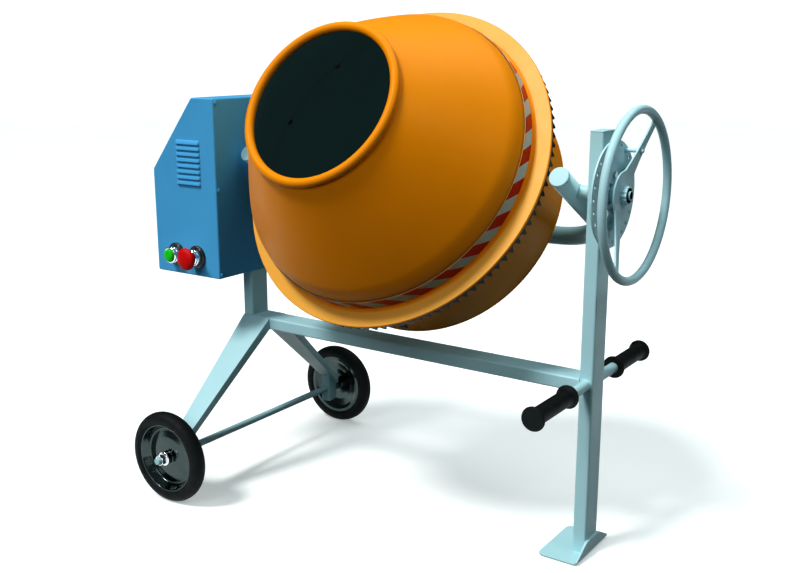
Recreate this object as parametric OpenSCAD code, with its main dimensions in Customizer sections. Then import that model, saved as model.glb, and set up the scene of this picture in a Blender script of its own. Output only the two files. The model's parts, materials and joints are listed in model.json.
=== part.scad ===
// Tilting-drum concrete mixer with a two-post frame, two transport wheels and one foot.
// X runs along the tilt axis towards the handwheel, -Y is the side the mouth faces, Z is up.
// The origin is on the floor, at the middle of the machine's outline.

/* [Frame] */
// Clear width between the two posts
post_gap = 900; // [896:1:910]
// Height of the handwheel post
post_h = 900; // [890:5:940]
// Height of the beam's upper face
beam_top = 393; // [385:1:393]
// Height of the tilt axis
tilt_z = 775; // [775:1:785]
// Front-to-back depth of the rectangular tube
tube_d = 60; // [58:1:64]
// Width of the rectangular tube
tube_w = 30; // [28:1:32]
// Wall of the rectangular tube
tube_wall = 2.5; // [2:0.5:3]
// Reach of the foot plate to each side of the post
foot_half = 79; // [70:1:90]
// Length of the foot plate under the beam
foot_len = 88; // [80:1:100]

/* [Drum] */
// Angle of the drum's axis above level at rest
rest_angle = 30; // [28:1:32]
// Radius of the mouth ring's centre line
mouth_r = 170; // [160:1:175]
// Distance of the mouth ring from the tilt axis
mouth_s = 351; // [345:1:355]
// Outer radius of the upper shell's lip
lip_r = 331; // [330:0.5:332]
// Radius of the upper shell's rounded shoulder
shoulder_r = 90; // [80:5:100]
// Outer radius of the drum's wide flange
flange_r = 373.5; // [372:0.5:373.5]
// Outer radius of the basin's bottom edge
basin_r = 315; // [310:1:316]
// Distance of the basin's bottom edge behind the tilt axis
basin_depth = 151; // [145:1:155]
// Thickness of the drum's sheet steel
sheet = 3; // [2.5:0.5:3]

/* [Gears] */
// Teeth on the drum's ring gear
ring_teeth = 108; // [108:1:108]
// Teeth on the pinion
pinion_teeth = 15; // [15:1:15]
// Radius at the middle of the ring gear's teeth
mesh_r = 362; // [361:1:362]
// Tooth thickness as a share of the pitch
tooth_share = 0.40; // [0.36:0.01:0.41]

/* [Yoke] */
// Outer diameter of the yoke's round tube
yoke_d = 42.4; // [40:0.1:43]
// Distance from the drum's axis to the yoke arm by the handwheel
arm_x = 402; // [400:1:402]
// Distance from the drum's axis to the yoke arm by the motor
left_arm_x = 420; // [400:1:420]
// Radius of the yoke's two bends
bend_r = 150; // [140:5:160]
// Distance of the yoke's cross bar behind the tilt axis
yoke_depth = 289; // [285:1:295]
// Length of each arm in front of the tilt axis
arm_front = 69; // [65:1:75]

/* [Housing] */
// Width of the motor housing along the tilt axis
housing_w = 212; // [205:1:220]
// Half of the housing's depth, front to back
housing_half = 144; // [140:1:148]
// Height of the housing's floor
housing_z0 = 507; // [500:1:508]
// Height of the housing's roof
housing_z1 = 941; // [935:1:950]
// Width of the sloping corner
slope_w = 141; // [135:1:145]
// Height of the sloping corner
slope_h = 177; // [170:1:180]
// Number of louvres in the front
louvres = 8; // [4:1:8]

/* [Wheels] */
// Outer diameter of the tyres
tyre_d = 220; // [215:1:225]
// Width of the tyres
tyre_w = 38; // [36:1:40]
// Distance from the middle of the machine to each wheel's centre plane
wheel_y = 328; // [326:1:330]

/* [Handwheel] */
// Radius of the handwheel rim's centre line
rim_r = 167; // [160:1:170]
// Radius of the rim's round bar
rim_bar = 9; // [8:0.5:9]
// Number of positions on the index disc
index_holes = 24; // [24:24:48]

/* [Hidden] */
$fn = 96;
frame_colour = [0.60, 0.70, 0.72];
housing_colour = [0.25, 0.48, 0.66];
drum_colour = [0.95, 0.60, 0.12];
black = [0.08, 0.09, 0.10];
steel = [0.72, 0.74, 0.76];
bronze = [0.72, 0.55, 0.30];

// Outline and placing
post_in = post_gap / 2;
post_out = post_in + tube_w;
axle_end = 368;
ring_bar = 9.5;
rim_x = post_in + 91;
front_y = -(mouth_s * cos(rest_angle) + mouth_r * sin(rest_angle) + ring_bar);
mid_x = (rim_x + rim_bar - post_in - housing_w) / 2;
mid_y = (front_y + axle_end) / 2;

// Foot, legs and wheels
plate_t = 5;
foot_flange_h = 36;
cap_t = 3;
wheel_x = -457;
wheel_z = tyre_d / 2;
axle_r = 8.5;
leg_end_y = 300;
leg_slope = 0.93;
leg_under_slope = 0.90;
leg_top_t = 29;
leg_top_w = 86;
leg_wall = 2.5;
bracket_w = 28;
bracket_y0 = 268;
bracket_t = 4;
handle_x = post_in + tube_w / 2;
handle_z = beam_top - 11;
handle_r = 11.5;
grip_y0 = 112;
grip_y1 = 269;

// Trunnions and bushes
motor_post_top = 880;
left_trunnion_r = 17;
left_bush_r = 20;
right_trunnion_r = 13;
right_bush_r = 16;
running = 0.05;
bush_flange = 4;

// Drum stack, as distances from the tilt axis towards the mouth
pitch = 2 * PI * mesh_r / ring_teeth;
pinion_r = pinion_teeth * pitch / (2 * PI);
gear_root_s = 58;
gear_back_s = 63;
basin_top_s = 66;
flange_edge_s = 71;
collar_r = lip_r + sheet;
collar_top_s = 112;
lip_s = 105;
lip_end_s = 92;
basin_top_r = 320;
basin_floor_s = 187;
floor_flat_r = 75;
fillet_r = 7;
band_bottom_s = 79;

// Gear teeth
ring_tip_s = 43.8;
ring_in_r = 321;
ring_out_r = 372;
gear_nut_height = 1.9;
tooth_in_r = 351;
pressure = 20;
pinion_tip_r = pinion_r + 5.6;
pinion_root_r = 42.2;
pinion_x0 = -373.5;
pinion_x1 = -349.5;
pinion_shaft_r = 10;

// Drum bearing
shaft_r = 12.5;
bearing_r = 26;
bearing_w = 15;
hub_r = 33;
hub_s0 = -330;
hub_s1 = -250;

// Motor and belt drive
motor_z = 596;
motor_r = 58;
motor_shaft_r = 7;
big_pulley_r = 108;
small_pulley_r = 15;
belt_x0 = -518;
belt_x1 = -506;
belt_t = 4;
belt_gap = 0.3;
pulley_lip = 4;

// Buttons
start_x = -592;
stop_x = -521;
button_z = 556;
button_hole = 15.2;
button_r = 14.8;

// Mains inlet and louvres
inlet_x = -560;
inlet_z = 575;
louvre_x0 = -577;
louvre_x1 = -497;
louvre_z0 = 732;
louvre_pitch = 13.9;

// Handwheel and index disc
disc_t = 4;
disc_dish = 10;
disc_r = 107;
index_r = 96;
pin_r = 4;
pin_angle = 60;
hub_plate_x = post_out + 30;
hub_plate_t = 4;
square_half = 9;
draw_bolt_r = 6;
bolt_end_r = 9;
spring_chamber_r = 9.5;

// ---- Placing helpers ----

// Moves the machine so that the origin is under the middle of its outline
module placed() {
  translate([-mid_x, -mid_y, 0])
    children();
}

// On the tilt axis, with the machine's own directions
module on_tilt_axis() {
  placed()
    translate([0, 0, tilt_z])
      children();
}

// On the tilt axis, with Z along the drum's axis towards the mouth
module on_drum_axis() {
  on_tilt_axis()
    rotate([90 - rest_angle, 0, 0])
      children();
}

// A cylinder along X between two positions
module rod_x(x0, x1, r) {
  translate([x0, 0, 0])
    rotate([0, 90, 0])
      cylinder(h = x1 - x0, r = r);
}

// A cylinder along Y between two positions
module rod_y(y0, y1, r) {
  translate([0, y0, 0])
    rotate([-90, 0, 0])
      cylinder(h = y1 - y0, r = r);
}

// A cylinder along Z between two positions
module rod_z(z0, z1, r) {
  translate([0, 0, z0])
    cylinder(h = z1 - z0, r = r);
}

// A block between two opposite corners
module block(a, b) {
  translate(a)
    cube(b - a);
}

// A hexagon prism along Z, measured across its flats
module hexagon(flats, h) {
  rotate(30)
    cylinder(h = h, r = flats / sqrt(3), $fn = 6);
}

// A profile drawn as [y, z], extruded along X
module along_x(x0, x1) {
  translate([x0, 0, 0])
    rotate([90, 0, 90])
      linear_extrude(x1 - x0)
        children();
}

// A profile drawn as [x, z], extruded along Y
module along_y(y0, y1) {
  translate([0, y1, 0])
    rotate([90, 0, 0])
      linear_extrude(y1 - y0)
        children();
}

// Both sides of the machine, front and back
module both_sides() {
  children();
  mirror([0, 1, 0])
    children();
}

// ---- Frame ----

module main_beam() color(frame_colour)
  placed()
    difference() {
      block([-post_out, -tube_d / 2, beam_top - tube_w], [post_in, tube_d / 2, beam_top]);
      block(
        [-post_out + tube_wall, -tube_d / 2 + tube_wall, beam_top - tube_w + tube_wall],
        [post_in + 1, tube_d / 2 - tube_wall, beam_top - tube_wall]
      );
    }

// A hollow upright of rectangular tube
module upright(x0, z0, z1) {
  difference() {
    block([x0, -tube_d / 2, z0], [x0 + tube_w, tube_d / 2, z1]);
    block(
      [x0 + tube_wall, -tube_d / 2 + tube_wall, z0 - 1],
      [x0 + tube_w - tube_wall, tube_d / 2 - tube_wall, z1 + 1]
    );
  }
}

module motor_side_post() color(frame_colour)
  placed()
    difference() {
      upright(-post_out, beam_top, motor_post_top);
      translate([0, 0, tilt_z])
        rod_x(-post_out - 1, -post_in + 1, left_bush_r);
    }

module handwheel_side_post() color(frame_colour)
  placed()
    difference() {
      upright(post_in, plate_t, post_h - cap_t);
      translate([0, 0, tilt_z])
        rod_x(post_in - 1, post_out + 1, right_bush_r);
      translate([handle_x, 0, handle_z])
        rod_y(-tube_d, tube_d, handle_r);
      disc_bolt_places()
        rod_x(post_out - tube_w / 2, post_out + 1, 4);
    }

module post_cap() color(frame_colour)
  placed()
    block([post_in, -tube_d / 2, post_h - cap_t], [post_out, tube_d / 2, post_h]);

// Base under the beam and a tapered flange up the outer face of the post
module foot_plate() color(frame_colour)
  placed() {
    corner = 14;
    x0 = post_out - foot_len;
    linear_extrude(plate_t)
      union() {
        translate([x0 + corner, -foot_half])
          square([foot_len - corner + plate_t, 2 * foot_half]);
        translate([x0, -foot_half + corner])
          square([foot_len, 2 * (foot_half - corner)]);
        for (side = [-1, 1])
          translate([x0 + corner, side * (foot_half - corner)])
            circle(corner);
      }
    along_x(post_out, post_out + plate_t)
      polygon([
        [-foot_half, 0],
        [foot_half, 0],
        [foot_half, plate_t],
        [tube_d / 2, foot_flange_h],
        [-tube_d / 2, foot_flange_h],
        [-foot_half, plate_t]
      ]);
  }

// One tapered box leg on the +Y side, made thinner all round by inset
module leg_form(inset) {
  run = leg_end_y - tube_d / 2;
  end_w = 44;
  intersection() {
    along_x(-post_out + inset, -post_out + leg_top_w + 1 - inset)
      polygon([
        [tube_d / 2, beam_top - inset],
        [leg_end_y, beam_top - leg_slope * run - inset],
        [leg_end_y, beam_top - leg_top_t - leg_under_slope * run + inset],
        [tube_d / 2, beam_top - leg_top_t + inset]
      ]);
    linear_extrude(beam_top)
      polygon([
        [-post_out + inset, tube_d / 2 - 1],
        [-post_out + leg_top_w - inset, tube_d / 2 - 1],
        [-post_out + end_w - inset, leg_end_y + 1],
        [-post_out + 3 + inset, leg_end_y + 1]
      ]);
  }
}

module leg() {
  difference() {
    leg_form(0);
    leg_form(leg_wall);
  }
}

module leg_near() color(frame_colour)
  placed()
    mirror([0, 1, 0])
      leg();

module leg_far() color(frame_colour)
  placed()
    leg();

// Height of the leg's lower face at a distance from the machine's middle
function leg_under(y) = beam_top - leg_top_t - leg_under_slope * (y - tube_d / 2);

// A pressed channel under the leg's end that holds the axle
module axle_bracket() {
  z0 = wheel_z - 36;
  corner = 16;
  x0 = wheel_x - bracket_w / 2;
  x1 = wheel_x + bracket_w / 2;
  arc = [for (a = [-90 : 15 : 0])
    [leg_end_y - corner, z0 + corner] + corner * [cos(a), sin(a)]];
  difference() {
    along_x(x0, x1)
      polygon(concat(
        [[bracket_y0, z0]],
        arc,
        [[leg_end_y, leg_under(leg_end_y)], [bracket_y0, leg_under(bracket_y0)]]
      ));
    block(
      [x0 + bracket_t, bracket_y0 + bracket_t, z0 - 1],
      [x1 - bracket_t, leg_end_y + 1, leg_under(bracket_y0)]
    );
    translate([wheel_x, 0, wheel_z])
      rod_y(bracket_y0 - 1, leg_end_y + 1, axle_r);
  }
}

module axle_brackets() color(frame_colour)
  placed()
    both_sides()
      axle_bracket();

module wheel_axle() color(frame_colour)
  placed()
    translate([wheel_x, 0, wheel_z]) {
      rod_y(-axle_end + 2, axle_end - 2, axle_r);
      both_sides()
        translate([0, axle_end - 2, 0])
          rotate([-90, 0, 0])
            cylinder(h = 2, r1 = axle_r, r2 = axle_r - 1.5);
    }

// A washer and a hexagon nut outside each wheel
module axle_nuts() color(steel)
  placed()
    both_sides()
      translate([wheel_x, 0, wheel_z])
        difference() {
          union() {
            rod_y(344.3, 347.3, 17);
            translate([0, 347.3, 0])
              rotate([-90, 0, 0])
                hexagon(24, 13);
          }
          rod_y(340, axle_end, axle_r);
        }

// ---- Transport handle ----

module handle_bar() color(frame_colour)
  placed()
    translate([handle_x, 0, handle_z])
      rod_y(-grip_y1 + 6, grip_y1 - 6, handle_r);

// A moulded grip with a round flange at each end, closed over the bar's end
module grip() {
  body_r = 17.5;
  end_r = 25;
  round_r = 5;
  length = grip_y1 - grip_y0;
  translate([0, grip_y0, 0])
    rotate([-90, 0, 0])
      difference() {
        rotate_extrude()
          union() {
            square([body_r, length]);
            for (z = [0, length - 2 * round_r]) {
              translate([0, z])
                square([end_r - round_r, 2 * round_r]);
              translate([end_r - round_r, z + round_r])
                circle(round_r);
            }
          }
        translate([0, 0, -1])
          cylinder(h = length - 5, r = handle_r);
      }
}

module handle_grips() color(black)
  placed()
    translate([handle_x, 0, handle_z])
      both_sides()
        grip();

// ---- Index disc and trunnion bushes ----

// Four places round the tilt axis, on the face of the post
module disc_bolt_places() {
  for (y = [-20, 20])
    for (z = [-36, 36])
      translate([0, y, tilt_z + z])
        children();
}

module index_disc() color(frame_colour)
  placed()
    difference() {
      translate([post_out, 0, tilt_z])
        rotate([0, 90, 0])
          rotate_extrude()
            polygon([
              [21, 0],
              [58, 0],
              [74, disc_dish],
              [disc_r, disc_dish],
              [disc_r, disc_dish + disc_t],
              [72, disc_dish + disc_t],
              [56, disc_t],
              [21, disc_t]
            ]);
      for (i = [0 : index_holes - 1])
        translate([0, 0, tilt_z])
          rotate([i * 360 / index_holes, 0, 0])
            translate([0, index_r, 0])
              rod_x(post_out, post_out + 30, pin_r + 0.4);
      disc_bolt_places()
        rod_x(post_out - 1, post_out + 10, 4);
    }

module index_disc_bolts() color(steel)
  placed()
    disc_bolt_places() {
      rod_x(post_out - 12, post_out + disc_t, 4);
      translate([post_out + disc_t, 0, 0])
        rotate([0, 90, 0])
          hexagon(13, 5.5);
    }

// Flanged plain bushes in the posts
module trunnion_bushes() color(bronze)
  on_tilt_axis() {
    difference() {
      union() {
        rod_x(post_in, post_out, right_bush_r);
        rod_x(post_in - bush_flange, post_in, right_bush_r + 5);
      }
      rod_x(post_in - 10, post_out + 10, right_trunnion_r + running);
    }
    difference() {
      union() {
        rod_x(-post_out, -post_in, left_bush_r);
        rod_x(-post_in, -post_in + bush_flange, left_bush_r + 4);
      }
      rod_x(-post_out - 10, -post_in + 10, left_trunnion_r + running);
    }
  }

// ---- Motor housing ----

// Outline of the housing seen from the front, made smaller all round by inset
module housing_outline(inset, open) {
  slope = atan2(slope_h, slope_w);
  x_out = -post_in - housing_w;
  polygon([
    [-post_in + open, housing_z0 + inset],
    [x_out + inset, housing_z0 + inset],
    [x_out + inset, housing_z1 - slope_h - inset * tan((90 - slope) / 2)],
    [x_out + slope_w + inset * tan(slope / 2), housing_z1 - inset],
    [-post_in + open, housing_z1 - inset]
  ]);
}

// Each louvre's place, from the lowest one up
module louvre_places() {
  for (i = [0 : louvres - 1])
    translate([0, 0, louvre_z0 + i * louvre_pitch])
      children();
}

module housing_shell() color(housing_colour)
  placed() {
    wall = 2;
    lip = 18;
    front = -housing_half;
    difference() {
      union() {
        along_y(-housing_half, housing_half)
          housing_outline(0, 0);
        louvre_places()
          along_x(louvre_x0, louvre_x1)
            polygon([[front, 9], [front - 5, 0], [front, 0]]);
      }
      intersection() {
        along_y(-housing_half + wall, housing_half - wall)
          housing_outline(wall, 0);
        block([-post_in - housing_w, -housing_half, housing_z0], [-post_in - wall, housing_half, housing_z1]);
      }
      along_y(-housing_half + lip, housing_half - lip)
        housing_outline(lip, 1);
      block(
        [-post_out - 0.5, -tube_d / 2 - 0.5, housing_z0 - 1],
        [-post_in + 1, tube_d / 2 + 0.5, housing_z0 + lip + 1]
      );
      louvre_places()
        along_x(louvre_x0 + 1.5, louvre_x1 - 1.5)
          polygon([[front + wall + 1, 9], [front - 3.6, -1], [front + wall + 1, -1]]);
      for (x = [start_x, stop_x])
        translate([x, 0, button_z])
          rod_y(front - 1, front + wall + 1, button_hole);
      translate([inlet_x, 0, inlet_z])
        rod_y(housing_half - wall - 1, housing_half + 1, 19);
      screw_places()
        rod_x(-post_in - 5, -post_in + 5, 2.5);
    }
  }

// Screws round the edge of the back plate
module screw_places() {
  for (y = [-1, 1])
    for (z = [housing_z0 + 10, (housing_z0 + housing_z1) / 2, housing_z1 - 10])
      translate([0, y * (housing_half - 9), z])
        children();
}

module housing_back_plate() color(housing_colour)
  placed()
    difference() {
      block([-post_in, -housing_half, housing_z0], [-post_in + 2, housing_half, housing_z1]);
      translate([0, 0, tilt_z])
        rod_x(-post_in - 1, -post_in + 3, left_bush_r + 5);
      screw_places()
        rod_x(-post_in - 1, -post_in + 3, 2.5);
    }

module housing_screws() color(housing_colour)
  placed()
    screw_places() {
      rod_x(-post_in - 8, -post_in + 2, 2.5);
      rod_x(-post_in + 2, -post_in + 5, 5);
    }

// Shelf under the motor with a lip against the post
module motor_bracket() color(frame_colour)
  placed() {
    block([-640, -55, 520], [-post_out, 55, 525]);
    block([-post_out - 4, -tube_d / 2, 525], [-post_out, tube_d / 2, 580]);
  }

module motor_body() color([0.55, 0.57, 0.60])
  placed()
    difference() {
      union() {
        translate([0, 0, motor_z]) {
          rod_x(-635, -540, motor_r);
          rod_x(-640, -635, motor_r - 6);
          rod_x(-540, -532, 22);
          for (x = [-628 : 10 : -548])
            rod_x(x, x + 3, motor_r + 4);
        }
        block([-620, -50, 525], [-555, 50, 556]);
        block([-615, -28, motor_z + 40], [-560, 28, motor_z + 86]);
      }
      translate([0, 0, motor_z])
        rod_x(-620, -530, motor_shaft_r + running);
    }

module switch_blocks() color(black)
  placed()
    for (x = [start_x, stop_x])
      translate([x, 0, button_z]) {
        block([-19, -housing_half + 2, -22], [19, -housing_half + 40, 22]);
        for (side = [-10, 10])
          translate([side, 0, 0])
            rod_y(-housing_half + 40, -housing_half + 46, 4);
      }

module button_base_rings() color(black)
  placed()
    for (x = [start_x, stop_x])
      translate([x, 0, button_z])
        difference() {
          union() {
            rod_y(-housing_half - 4, -housing_half, 27.5);
            translate([0, -housing_half - 4, 0])
              rotate([90, 0, 0])
                cylinder(h = 2.5, r1 = 27.5, r2 = 25);
          }
          rod_y(-housing_half - 10, -housing_half + 1, 20.5);
        }

module button_collars() color(steel)
  placed()
    for (x = [start_x, stop_x])
      translate([x, -housing_half, button_z])
        rotate([90, 0, 0])
          rotate_extrude()
            polygon([
              [button_hole, 0],
              [20.5, 0],
              [20.5, 12],
              [19, 15],
              [20, 22],
              [18, 26],
              [button_hole, 26]
            ]);

module start_button() color([0.05, 0.55, 0.25])
  placed()
    translate([start_x, -housing_half, button_z])
      rotate([90, 0, 0])
        rotate_extrude()
          polygon([[0, 7], [button_r, 7], [button_r, 31], [13.5, 33], [0, 33.5]]);

module stop_button() color([0.85, 0.08, 0.08])
  placed()
    translate([stop_x, -housing_half, button_z])
      rotate([90, 0, 0])
        rotate_extrude()
          union() {
            polygon([[0, 8], [button_r, 8], [button_r, 35], [25.5, 35], [27.5, 37], [27.5, 41], [0, 41]]);
            intersection() {
              translate([0, 41 - 27.5 * 1.32])
                circle(27.5 * sqrt(1 + pow(1.32, 2)));
              translate([0, 41])
                square([27.5, 20]);
            }
          }

// Recessed three-pin mains inlet on the back of the housing
module power_inlet() color(black)
  placed()
    translate([inlet_x, housing_half, inlet_z])
      rotate([-90, 0, 0]) {
        difference() {
          union() {
            translate([-29, -29, 0])
              cube([58, 58, 4]);
            cylinder(h = 30, r = 25);
            rod_z(-22, 0, 18.5);
          }
          rod_z(0, 31, 21);
          rod_z(-6, 1, 16);
        }
        for (i = [0 : 2])
          rotate(i * 120)
            translate([0, 11, 0])
              rod_z(-8, 22, 2.5);
      }

// ---- Belt drive ----

// Points of a loop round both pulleys, made larger by grow
function belt_loop(grow) =
  let (
    r1 = big_pulley_r + grow,
    r2 = small_pulley_r + grow,
    tilt = asin((r1 - r2) / (tilt_z - motor_z)),
    steps = 60
  )
  concat(
    [for (i = [0 : steps])
      let (a = -tilt + (180 + 2 * tilt) * i / steps)
      [r1 * cos(a), tilt_z + r1 * sin(a)]],
    [for (i = [0 : steps / 4])
      let (a = 180 + tilt + (180 - 2 * tilt) * i / (steps / 4))
      [r2 * cos(a), motor_z + r2 * sin(a)]]
  );

module drive_belt() color(black)
  placed()
    along_x(belt_x0, belt_x1)
      difference() {
        polygon(belt_loop(belt_gap + belt_t));
        polygon(belt_loop(belt_gap));
      }

// A flanged pulley whose belt runs at radius r
module pulley(r, bore, hub, web) {
  width = belt_x1 - belt_x0 + 2;
  translate([belt_x0 - 1, 0, 0])
    rotate([0, 90, 0])
      rotate_extrude()
        polygon([
          [bore, -2],
          [hub, -2],
          [hub, width / 2 - web / 2],
          [r - 8, width / 2 - web / 2],
          [r - 8, -2],
          [r + pulley_lip, -2],
          [r + pulley_lip, 0],
          [r, 1],
          [r, width - 1],
          [r + pulley_lip, width],
          [r + pulley_lip, width + 2],
          [r - 8, width + 2],
          [r - 8, width / 2 + web / 2],
          [hub, width / 2 + web / 2],
          [hub, width + 2],
          [bore, width + 2]
        ]);
}

module motor_shaft() color(steel)
  placed()
    translate([0, 0, motor_z])
      rod_x(-612, -500, motor_shaft_r);

module motor_pulley() color(steel)
  placed()
    translate([belt_x0 - 3, 0, motor_z])
      rotate([0, 90, 0])
        rotate_extrude()
          polygon([
            [motor_shaft_r, 0],
            [small_pulley_r + pulley_lip, 0],
            [small_pulley_r + pulley_lip, 2],
            [small_pulley_r, 3],
            [small_pulley_r, 15],
            [small_pulley_r + pulley_lip, 16],
            [small_pulley_r + pulley_lip, 18],
            [motor_shaft_r, 18]
          ]);

module large_pulley() color([0.35, 0.36, 0.38])
  on_tilt_axis()
    pulley(big_pulley_r, pinion_shaft_r, 22, 5);

module pinion_shaft() color(steel)
  on_tilt_axis()
    rod_x(-524, -344, pinion_shaft_r);

// ---- Gears ----

// A point on the involute of a base circle, at an unwinding angle in degrees
function involute(base, a) = [
  base * (cos(a) + a * PI / 180 * sin(a)),
  base * (sin(a) - a * PI / 180 * cos(a))
];

// The point p turned by an angle
function turned(p, a) = [p[0] * cos(a) - p[1] * sin(a), p[0] * sin(a) + p[1] * cos(a)];

// One pinion tooth, centred on local X
module pinion_tooth() {
  base = pinion_r * cos(pressure);
  steps = 6;
  last = acos(base / pinion_tip_r);
  unwound = tan(last) * 180 / PI;
  at_pitch = tan(pressure) * 180 / PI - pressure;
  half = 90 * (tooth_share + 0.02) * 2 / pinion_teeth + at_pitch;
  side = [for (i = [0 : steps]) turned(involute(base, unwound * i / steps), -half)];
  flip = [for (i = [0 : steps]) [side[steps - i][0], -side[steps - i][1]]];
  root = turned([pinion_root_r - 2, 0], -half);
  polygon(concat([root], side, flip, [[root[0], -root[1]]]));
}

module pinion_gear() color(black)
  on_drum_axis()
    difference() {
      union() {
        translate([pinion_x0, 0, 0])
          rotate([0, 90, 0])
            linear_extrude(pinion_x1 - pinion_x0)
              union() {
                circle(pinion_root_r);
                for (i = [0 : pinion_teeth - 1])
                  rotate(180 + i * 360 / pinion_teeth)
                    pinion_tooth();
              }
        rod_x(-378.5, -345, 18);
      }
      rod_x(-400, -340, pinion_shaft_r);
    }

// Ring with straight teeth that point away from the mouth
module ring_gear() color(black)
  on_drum_axis() {
    tip_w = tooth_share * pitch - 2 * (pinion_r - ring_tip_s) * tan(pressure);
    root_w = tooth_share * pitch + 2 * (gear_root_s - pinion_r) * tan(pressure);
    embed = 1;
    difference() {
      union() {
        difference() {
          rod_z(gear_root_s, gear_back_s, ring_out_r);
          rod_z(gear_root_s - 1, gear_back_s + 1, ring_in_r);
        }
        for (i = [0 : ring_teeth - 1])
          rotate((i + 0.5) * 360 / ring_teeth)
            translate([tooth_in_r, 0, 0])
              rotate([90, 0, 90])
                linear_extrude(ring_out_r - 0.5 - tooth_in_r)
                  polygon([
                    [-tip_w / 2, ring_tip_s],
                    [tip_w / 2, ring_tip_s],
                    [root_w / 2, gear_root_s],
                    [root_w / 2, gear_root_s + embed],
                    [-root_w / 2, gear_root_s + embed],
                    [-root_w / 2, gear_root_s]
                  ]);
      }
      gear_bolt_places()
        rod_z(gear_root_s - 1, gear_back_s + 1, 4);
    }
  }

// Bolts that hold the ring gear under the basin's flange
module gear_bolt_places() {
  for (i = [0 : 11])
    rotate(15 + i * 30)
      translate([335, 0, 0])
        children();
}

module ring_gear_bolts() color(steel)
  on_drum_axis()
    gear_bolt_places() {
      rod_z(gear_root_s, basin_top_s, 4);
      translate([0, 0, gear_root_s - 5])
        hexagon(13, 5);
      translate([0, 0, basin_top_s])
        hexagon(13, gear_nut_height);
    }

// ---- Drum ----

// Outer profile of the upper shell: a shoulder above the lip, then a slightly curved cone
shoulder_turn = 34;
cone_bulge = 3;
shoulder_centre = [lip_r - shoulder_r, lip_s + 1];
shoulder_end = shoulder_centre + shoulder_r * [cos(shoulder_turn), sin(shoulder_turn)];
chord = [mouth_r + 3, mouth_s - 5] - shoulder_end;
chord_len = norm(chord);
cone_r = (pow(chord_len / 2, 2) + pow(cone_bulge, 2)) / (2 * cone_bulge);
cone_half_turn = asin(chord_len / 2 / cone_r);
cone_out = [chord[1], -chord[0]] / chord_len;
cone_centre = shoulder_end + chord / 2 - cone_out * (cone_r - cone_bulge);

// Point on the shoulder at an angle, thinner by inset
function shoulder_point(angle, inset) =
  shoulder_centre + (shoulder_r - inset) * [cos(angle), sin(angle)];

// Point on the cone at a share of its height, thinner by inset
function cone_point(t, inset) =
  let (turn = atan2(cone_out[1], cone_out[0]) + cone_half_turn * (2 * t - 1))
  cone_centre + (cone_r - inset) * [cos(turn), sin(turn)];

module drum_upper_shell() color(drum_colour)
  on_drum_axis()
    difference() {
      rotate_extrude($fn = 180) {
        steps = 8;
        outer = concat(
          [for (i = [0 : steps]) shoulder_point(shoulder_turn * i / steps, 0)],
          [for (i = [1 : steps]) cone_point(i / steps, 0)]
        );
        inner = concat(
          [for (i = [steps : -1 : 1]) cone_point(i / steps, sheet)],
          [for (i = [steps : -1 : 0]) shoulder_point(shoulder_turn * i / steps, sheet)]
        );
        polygon(concat(
          [[lip_r - sheet, lip_end_s], [lip_r, lip_end_s]],
          outer,
          inner
        ));
      }
      mouth_torus();
    }

// The round bar that stiffens the mouth
module mouth_torus() {
  translate([0, 0, mouth_s])
    rotate_extrude($fn = 180)
      translate([mouth_r, 0])
        circle(ring_bar);
}

module mouth_ring() color(drum_colour)
  on_drum_axis()
    mouth_torus();

// Pressed ring: a band round the upper shell's lip, a small fillet and a flat flange
module drum_collar() color(drum_colour)
  on_drum_axis()
    rotate_extrude($fn = 180) {
      centre = [collar_r + fillet_r, flange_edge_s + fillet_r];
      outer = [for (a = [180 : 15 : 270]) centre + fillet_r * [cos(a), sin(a)]];
      inner = [for (a = [270 : -15 : 180]) centre + (fillet_r + sheet) * [cos(a), sin(a)]];
      polygon(concat(
        [[collar_r - sheet, collar_top_s], [collar_r, collar_top_s]],
        outer,
        [
          [flange_r - 1, flange_edge_s],
          [flange_r, flange_edge_s - 1],
          [flange_r, basin_top_s],
          [flange_r - sheet, basin_top_s],
          [flange_r - sheet, flange_edge_s - sheet]
        ],
        inner
      ));
    }

module stripe_band() color([0.85, 0.85, 0.85])
  on_drum_axis()
    difference() {
      rod_z(band_bottom_s, collar_top_s - 1, collar_r + 0.6);
      rod_z(band_bottom_s - 1, collar_top_s, collar_r);
    }

// Lower half of the drum: flange, slightly tapered wall and dished floor
module drum_basin() color(drum_colour)
  on_drum_axis()
    difference() {
      rotate_extrude($fn = 180) {
        steps = 8;
        rise = basin_floor_s - basin_depth;
        span = basin_r - floor_flat_r;
        floor_out = [for (i = [0 : steps])
          let (t = i / steps)
          [basin_r - span * t, -basin_depth - rise * (1 - pow(1 - t, 2))]];
        floor_in = [for (i = [0 : steps])
          let (t = 1 - i / steps)
          [basin_r - sheet - (span - sheet) * t, sheet - basin_depth - rise * (1 - pow(1 - t, 2))]];
        polygon(concat(
          [
            [flange_r - 1, basin_top_s],
            [flange_r - 1, gear_back_s],
            [basin_top_r, gear_back_s]
          ],
          floor_out,
          [[0, -basin_floor_s], [0, sheet - basin_floor_s]],
          floor_in,
          [[basin_top_r - sheet, basin_top_s]]
        ));
      }
      rod_z(-basin_floor_s - 1, 1 - basin_floor_s + sheet, shaft_r);
      hub_bolt_places()
        rod_z(-basin_floor_s - 1, 1 - basin_floor_s + sheet, 5);
      gear_bolt_places()
        rod_z(gear_back_s - 1, basin_top_s + 1, 4);
      blade_bolt_places()
        rod_z(-10, 10, 4);
    }

// Six places round the drum's shaft
module hub_bolt_places() {
  for (i = [0 : 5])
    rotate(i * 60)
      translate([50, 0, 0])
        children();
}

blade_angles = [95, 275];
blade_feet = [-110, 20];
blade_bolt_y = 11;
basin_taper = atan((basin_top_r - basin_r) / (gear_back_s + basin_depth));

// Inner radius of the basin's wall at a distance along the axis
function wall_r(s) = basin_top_r - sheet - (gear_back_s - s) * tan(basin_taper);

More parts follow.
